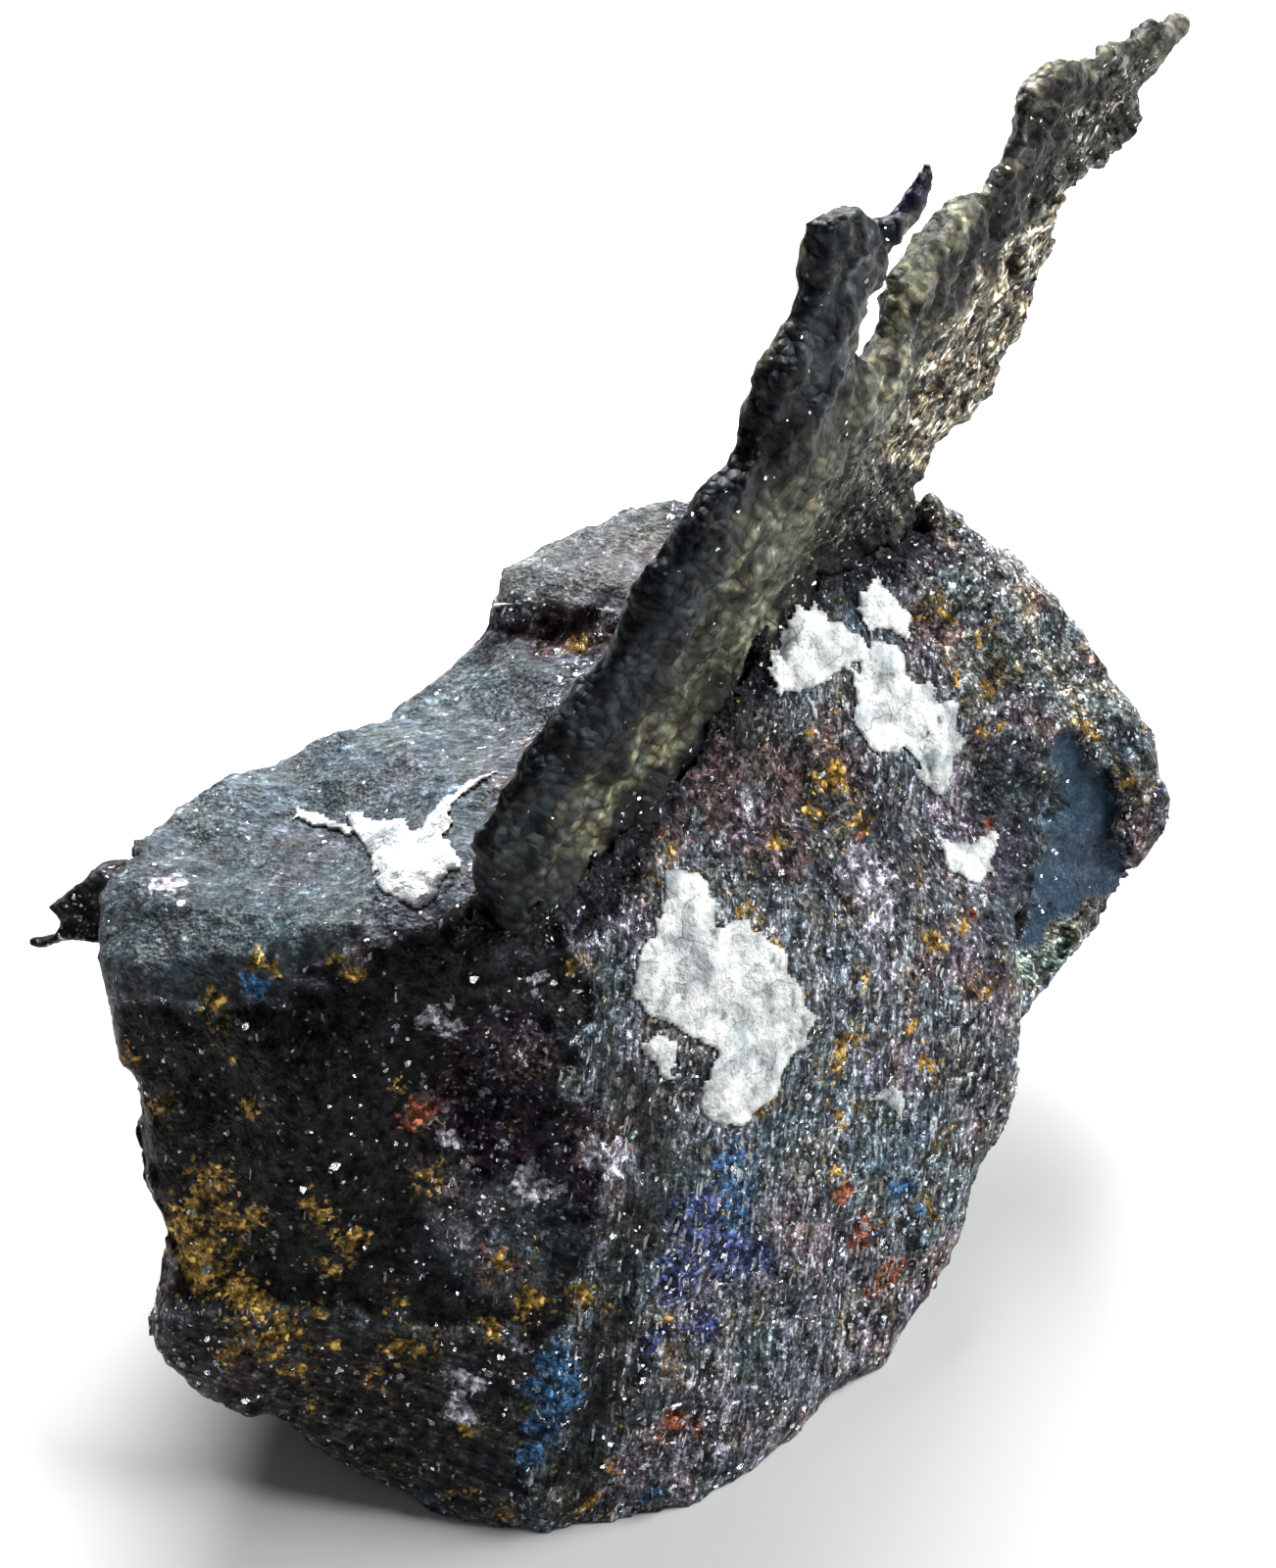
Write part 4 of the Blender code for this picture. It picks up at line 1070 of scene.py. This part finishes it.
# Small flecks and veins of calcite elsewhere on the ore.
CALCITE_FLECKS = (
    ((-16.4, -1.1), (-15.2, -1.4), (-13.4, -2.0), (-13.4, -2.6), (-15.4, -2.2), (-16.4, -1.7)),
    ((-10.2, -1.8), (-9.0, -0.6), (-7.5, 0.4), (-6.4, 0.7), (-7.3, -0.1), (-8.5, -1.0), (-9.6, -1.9)),
    ((-8.1, 8.6), (-7.1, 9.2), (-5.3, 9.4), (-5.2, 9.1), (-6.8, 8.8), (-7.8, 8.3)),
    ((-1.8, 8.9), (-1.0, 8.9), (-1.0, 8.3), (-1.8, 8.3)),
    (
        (11.2, -15.5), (12.0, -14.9), (12.7, -14.8), (13.2, -15.8), (13.0, -16.9), (12.6, -16.2),
        (12.0, -15.6),
    ),
    ((18.2, -7.8), (18.9, -7.9), (18.7, -8.3), (18.1, -8.2)),
    ((18.0, -3.5), (18.2, -2.4), (18.5, -2.6), (18.4, -3.8)),
    ((7.8, 4.5), (8.4, 4.6), (8.9, 3.8), (8.8, 2.9), (8.4, 3.5)),
)


def calcite_grid(outline):
    """A fine grid of places on the picture that covers the outline, and how many there are in a row."""
    corners = np.array(outline)
    low, high = corners.min(axis=0) - 1.0, corners.max(axis=0) + 1.0
    us = np.arange(low[0], high[0], CALCITE_STEP)
    vs = np.arange(low[1], high[1], CALCITE_STEP)
    return np.array([(u, v) for v in vs for u in us]), len(us)


def edge_wander(grid):
    """How far a calcite edge wanders and is chipped at each place of the grid, in millimetres."""
    flat = np.column_stack([grid * MM, np.zeros(len(grid))])
    wander = CALCITE_WANDER.height * noise_at(flat, CALCITE_WANDER.size, 21.0)
    wander += CALCITE_CHIPPING.height * chipped_at(flat, CALCITE_CHIPPING.size, 23.0)
    return wander


def calcite_tops(bm, grid, depth_in, surface):
    """The points of a calcite face, a little above the ore's surface, by their numbers in the grid."""
    rim = bm.verts.layers.float.new("rim")
    at_rim, further_in = CALCITE_RISE
    tops = {}
    for i in np.flatnonzero(depth_in > 0):
        u, v = grid[i] * MM
        start = AIM + Vector((u, 0, 0)) + PICTURE_UP * v - LOOKING * CALCITE_START * MM
        place, normal, _, _ = surface.ray_cast(start, LOOKING)
        if place is None:
            continue
        rise = (at_rim + further_in * min(1.0, depth_in[i] / CALCITE_RISE_WITHIN)) * MM
        rise += CALCITE_BUMPS.height * noise.noise(place / CALCITE_BUMPS.size + SEED)
        tops[i] = bm.verts.new(place + normal * rise)
        tops[i][rim] = 1 - min(1.0, depth_in[i] / CALCITE_RIM)
    return tops


def add_skirt(bm):
    """Draws the border of a calcite face down into the ore."""
    border = [edge for edge in bm.edges if edge.is_boundary]
    skirt = bmesh.ops.extrude_edge_only(bm, edges=border)
    for vertex in skirt["geom"]:
        if isinstance(vertex, bmesh.types.BMVert):
            vertex.co += LOOKING * CALCITE_SKIRT


def calcite_face(name, outline, surface, ragged=1.0, spread=CALCITE_SPREAD):
    """One body of calcite: a ragged plate that follows the ore's surface, a little proud of it."""
    grid, width = calcite_grid(outline)
    depth_in = inside_outline(grid, outline) + spread + ragged * edge_wander(grid)
    bm = bmesh.new()
    tops = calcite_tops(bm, grid, depth_in, surface)
    for i in tops:
        square = (i, i + 1, i + 1 + width, i + width)
        if (i + 1) % width and all(j in tops for j in square):
            bm.faces.new([tops[j] for j in square])
    loose = [vertex for vertex in bm.verts if not vertex.link_faces]
    bmesh.ops.delete(bm, geom=loose, context="VERTS")
    add_skirt(bm)
    bmesh.ops.recalc_face_normals(bm, faces=bm.faces)
    mesh = bpy.data.meshes.new(name)
    bm.to_mesh(mesh)
    bm.free()
    return shaded_smooth(new_piece(name, mesh))


# Silver

SHEET_VOXEL = 0.24 * MM
SPUR_VOXEL = 0.16 * MM
SHEET_GROUND = Ground((0.120, 0.124, 0.088), (0.8, 0.15, 0.0, 0.05))
# the darker ground on the sheet's back: painted shade
SHEET_SHADED_BACK = Ground((0.030, 0.031, 0.024), (0.8, 0.55, 0.0, 0.2))
SPUR_GROUND = Ground((0.030, 0.030, 0.038), (0.9, 0.3, 0.0, 2.4))
SILVER_FIBRES = Relief(1.1 * MM, 0.26 * MM)
SILVER_FIBRE_STRETCH = 4.0
SILVER_LUMPS = Relief(2.4 * MM, 0.45 * MM)
SILVER_BUMPS = Relief(1.1 * MM, 0.28 * MM)
SILVER_CHIPS = Relief(0.9 * MM, 0.22 * MM)
SILVER_INSET = 0.10 * MM
# The surface grows sharper along the root from the first of these to the second.
SHARP_FROM, SHARP_TO = 16 * MM, 30 * MM
# The wire prong lies beyond these places along the root and above these heights.
PRONG_ALONG = (24.2 * MM, 25.0 * MM)
PRONG_ABOVE = (52.6 * MM, 53.2 * MM)
PRONG_SWELL = 0.20 * MM
ROOT_SWELL = 0.32 * MM
ROOT_BAND = (ROOT_TOP - 0.5 * MM, ROOT_TOP + 1.5 * MM)

SHEET_ZONES = (
    # the dark wire prong
    Zone(
        (
            (11.5, 27.0), (11.4, 29.0), (12.4, 30.0), (13.7, 31.0), (14.4, 32.4), (15.8, 31.8),
            (15.0, 30.0), (13.7, 28.2), (12.7, 26.9),
        ),
        (0.016, 0.014, 0.028), (0.5, 0.0, 0.0, 0.1), soft=0.3,
    ),
    # the hackly lower right part and the outer branch
    Zone(
        (
            (15.0, 22.8), (17.8, 26.8), (19.7, 28.5), (21.6, 29.8), (21.7, 27.0), (20.7, 24.0),
            (19.2, 21.2), (16.9, 18.2), (15.0, 15.8), (12.9, 13.2), (11.2, 12.6), (11.7, 15.5),
            (13.4, 19.0),
        ),
        (0.410, 0.365, 0.279), (0.9, 1.0, 0.0, 1.2), soft=0.8,
    ),
    Zone(
        (
            (20.0, 32.5), (21.7, 36.0), (24.0, 37.0), (26.5, 37.5), (25.7, 34.5), (23.5, 31.5),
            (21.7, 30.2), (19.5, 28.0), (17.4, 27.0), (18.4, 30.0),
        ),
        (0.075, 0.076, 0.066), (0.9, 1.0, 0.0, 1.0), soft=0.6,
    ),
    # the dull middle of the branch, down to the fork, and the dark hackly foot of the sheet's right part
    Zone(
        (
            (12.5, 20.5), (16.1, 27.3), (18.1, 30.2), (19.5, 33.9), (20.6, 35.5), (23.0, 36.5),
            (24.3, 36.1), (22.2, 34.3), (21.0, 31.8), (19.8, 29.0), (18.1, 26.5), (15.6, 23.4),
        ),
        (0.007, 0.007, 0.006), (0.7, 0.2, 0.0, 0.2), soft=0.6,
    ),
    Zone(
        ((7.5, 8.5), (9.0, 13.0), (10.8, 17.0), (12.8, 17.2), (14.5, 15.5), (12.8, 12.6), (10.0, 9.5)),
        (0.048, 0.050, 0.046), (0.9, 0.9, 0.0, 0.9), soft=0.8,
    ),
    # the crumbly crevice along its foot, painted black: painted shade
    Zone(
        (
            (-5.3, -8.4), (-0.2, -4.2), (1.9, -1.2), (6.2, 3.2), (7.6, 5.4), (11.2, 8.2), (14.9, 11.8),
            (14.4, 14.7), (12.6, 13.4), (10.0, 12.0), (8.2, 10.9), (6.0, 7.2), (3.1, 3.2), (-0.6, -0.8),
            (-2.4, -3.7), (-4.9, -6.6),
        ),
        (0.006, 0.006, 0.008), (1.0, 0.0, 0.0, 0.8), soft=0.35,
    ),
    # the black slot in it, a painted shadow
    Zone(
        ((11.6, 11.9), (12.7, 13.0), (14.9, 13.3), (14.9, 12.5), (12.7, 12.2)),
        (0.001, 0.001, 0.001), (0.2, 0.0, 0.0, 0.0), sunk=0.8, soft=0.12,
    ),
    # the edge strip of the branch, painted lighter: a painted highlight on its top
    Zone(
        (
            (18.7, 31.5), (19.2, 35.2), (20.5, 36.2), (23.0, 37.1), (27.5, 39.1), (28.2, 38.5),
            (26.4, 38.0), (23.5, 36.9), (21.5, 35.8), (20.2, 34.5), (19.7, 32.5),
        ),
        (0.096, 0.096, 0.087), (0.7, 0.0, 0.0, 0.1), soft=0.25,
    ),
    # the blue-black band along the left rim, with the whole tab
    Zone(
        (
            (-8.8, -9.2), (-10.6, -4.0), (-8.8, 0.4), (-6.3, 3.6), (-4.2, 6.2), (-2.4, 9.4), (-0.1, 11.5),
            (2.0, 15.0), (3.5, 16.5), (5.0, 18.5), (5.9, 20.8), (7.0, 22.5), (7.5, 24.5), (7.9, 27.0),
            (8.1, 29.8), (12.5, 30.0), (12.9, 27.5), (12.2, 23.5), (11.0, 20.0), (9.0, 17.5), (6.5, 14.5),
            (4.7, 11.5), (3.2, 8.0), (1.0, 4.5), (-1.3, 1.0), (-3.8, -2.5), (-5.3, -5.5), (-6.1, -9.2),
        ),
        (0.011, 0.015, 0.019), (0.5, 0.0, 0.0, 0.1), soft=0.8,
    ),
    # the dark front end of the sheet
    Zone(
        (
            (-9.4, -2.0), (-6.6, -2.2), (-4.6, -3.8), (-2.4, -4.8), (-2.6, -7.4), (-5.0, -9.2),
            (-7.6, -9.0), (-9.4, -5.0),
        ),
        (0.018, 0.022, 0.024), (0.5, 0.0, 0.0, 0.1), soft=1.4,
    ),
    # the dull gleam on the tab, a painted highlight
    Zone(
        ((9.2, 28.5), (11.0, 28.8), (11.5, 27.0), (10.5, 25.5), (9.3, 26.2)),
        (0.055, 0.066, 0.076), (0.4, 0.0, 0.0, 0.0), soft=0.5,
    ),
)


def sheet_axes(points):
    """The points' places along the sheet's root, out of its front face and up, in metres."""
    off = points - np.array(ROOT_START)
    return np.stack([off @ np.array(ALONG_ROOT), off @ np.array(OUT_OF_SHEET), points[:, 2]], axis=1)


def silver_body(node, name, voxel, ground, back):
    """The sheet or the spur with its hackly, fibrous surface."""
    body = remeshed(copy_of(node, name), voxel)
    smoothed(body, 2)
    points, normals = points_of(body), normals_of(body)
    shares = zone_shares(points, normals, SHEET_ZONES)
    painted(body, SHEET_ZONES, shares, ground, back)
    local = sheet_axes(points)
    sharp = soft_step(SHARP_FROM, SHARP_TO, local[:, 0])
    fibres = along(points, FIBRES, SILVER_FIBRE_STRETCH)
    height = SILVER_FIBRES.height * ridged_at(fibres, SILVER_FIBRES.size, 3, 31.0) * (0.3 + 0.7 * sharp)
    height += SILVER_LUMPS.height * noise_at(points, SILVER_LUMPS.size, 33.0)
    height += SILVER_BUMPS.height * noise_at(points, SILVER_BUMPS.size, 34.0)
    height += SILVER_CHIPS.height * chipped_at(points, SILVER_CHIPS.size, 35.0) * (0.4 + 0.6 * sharp)
    height -= SILVER_INSET
    # the prong is too thin for the full relief, and swells a little instead
    prong = soft_step(*PRONG_ALONG, local[:, 0]) * soft_step(*PRONG_ABOVE, local[:, 2])
    height += (PRONG_SWELL - 0.6 * height) * prong
    points = points + normals * height[:, None]
    for zone, share in zip(SHEET_ZONES, shares):
        points += np.array(LOOKING) * (zone.sunk * MM * share)[:, None]
    set_points(body, points)
    return shaded_smooth(body)


def seat_root(body):
    """Swells the sheet's root so that it fills its bed in the ore."""
    points = points_of(body)
    swell = 1 - soft_step(*ROOT_BAND, points[:, 2])
    set_points(body, points + normals_of(body) * (ROOT_SWELL * swell)[:, None])


# The stage

LIGHTS_AIM = Vector((0, 0.01, 0.02))
LIGHT_SIZE = 0.30
KEY_PLACE, KEY_WATTS = (-0.01, 0.39, 0.32), 7.6  # behind the lump, for the shadow in front of it
SIDE_PLACE, SIDE_WATTS = (0.34, 0.10, 0.34), 3.8
SKY_COLOUR, SKY_STRENGTH = (0.95, 0.97, 1.0, 1.0), 0.12
FLOOR_REACH = 0.9
FLOOR_PLACE = (0, 0.1, -0.02 * MM)


def light(name, place, watts):
    """A round soft lamp turned towards the lump."""
    lamp = bpy.data.lights.new(name, "AREA")
    lamp.shape = "DISK"
    lamp.size = LIGHT_SIZE
    lamp.energy = watts
    made = bpy.data.objects.new(name, lamp)
    made.location = place
    made.rotation_euler = (LIGHTS_AIM - Vector(place)).to_track_quat("-Z", "Y").to_euler()
    bpy.context.scene.collection.objects.link(made)


def floor():
    """The table that the specimen stands on."""
    bm = bmesh.new()
    bmesh.ops.create_grid(bm, x_segments=8, y_segments=8, size=FLOOR_REACH)
    mesh = bpy.data.meshes.new("table")
    bm.to_mesh(mesh)
    bm.free()
    table = new_piece("table", mesh)
    table.location = FLOOR_PLACE
    table.data.materials.append(floor_material())


def camera():
    """Looks at the specimen from about the photo's viewing angle."""
    data = bpy.data.cameras.new("camera")
    data.lens = CAMERA_LENS
    data.sensor_width = CAMERA_SENSOR
    data.clip_start = 1.0 * MM
    made = bpy.data.objects.new("camera", data)
    made.location = EYE
    made.rotation_euler = (CAMERA_TILT, 0, 0)
    bpy.context.scene.collection.objects.link(made)
    bpy.context.scene.camera = made


def studio():
    """A pale, even sky and plain colours."""
    world = bpy.data.worlds.new("studio")
    world.use_nodes = True
    background = world.node_tree.nodes["Background"]
    background.inputs["Color"].default_value = SKY_COLOUR
    background.inputs["Strength"].default_value = SKY_STRENGTH
    bpy.context.scene.world = world
    bpy.context.scene.view_settings.view_transform = "Standard"


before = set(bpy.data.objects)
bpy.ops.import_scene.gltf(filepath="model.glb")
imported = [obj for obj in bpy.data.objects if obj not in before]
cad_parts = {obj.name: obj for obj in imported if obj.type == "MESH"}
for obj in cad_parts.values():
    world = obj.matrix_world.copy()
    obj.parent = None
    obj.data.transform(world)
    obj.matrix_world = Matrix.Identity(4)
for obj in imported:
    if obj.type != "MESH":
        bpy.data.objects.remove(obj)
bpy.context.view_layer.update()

ore = ore_body(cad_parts)
store_colour(ore, "tint", tint_layer(points_of(ore)))
ore.data.materials.append(ore_material())
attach(ore, "root")
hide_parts("ore_matrix")

surface = BVHTree.FromObject(ore, bpy.context.evaluated_depsgraph_get())
white = calcite_material()
for node_name, outline in CALCITES.items():
    face = calcite_face(node_name + "_face", outline, surface)
    face.data.materials.append(white)
    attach(face, "root")
    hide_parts(node_name)

parts = [calcite_face("calcite_flecks", outline, surface, FLECK_RAGGED, 0.0) for outline in CALCITE_FLECKS]
flecks = shaded_smooth(joined(parts))
flecks.data.materials.append(white)
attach(flecks, "root")

silver = silver_material()
sheet = silver_body(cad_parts["silver_sheet"], "sheet_body", SHEET_VOXEL, SHEET_GROUND, SHEET_SHADED_BACK)
seat_root(sheet)
spur = silver_body(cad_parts["silver_spur"], "spur_body", SPUR_VOXEL, SPUR_GROUND, SPUR_GROUND)
for piece, node_name in ((sheet, "silver_sheet"), (spur, "silver_spur")):
    piece.data.materials.append(silver)
    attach(piece, "root")
    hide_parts(node_name)

floor()
light("key", KEY_PLACE, KEY_WATTS)
light("side", SIDE_PLACE, SIDE_WATTS)
studio()
camera()
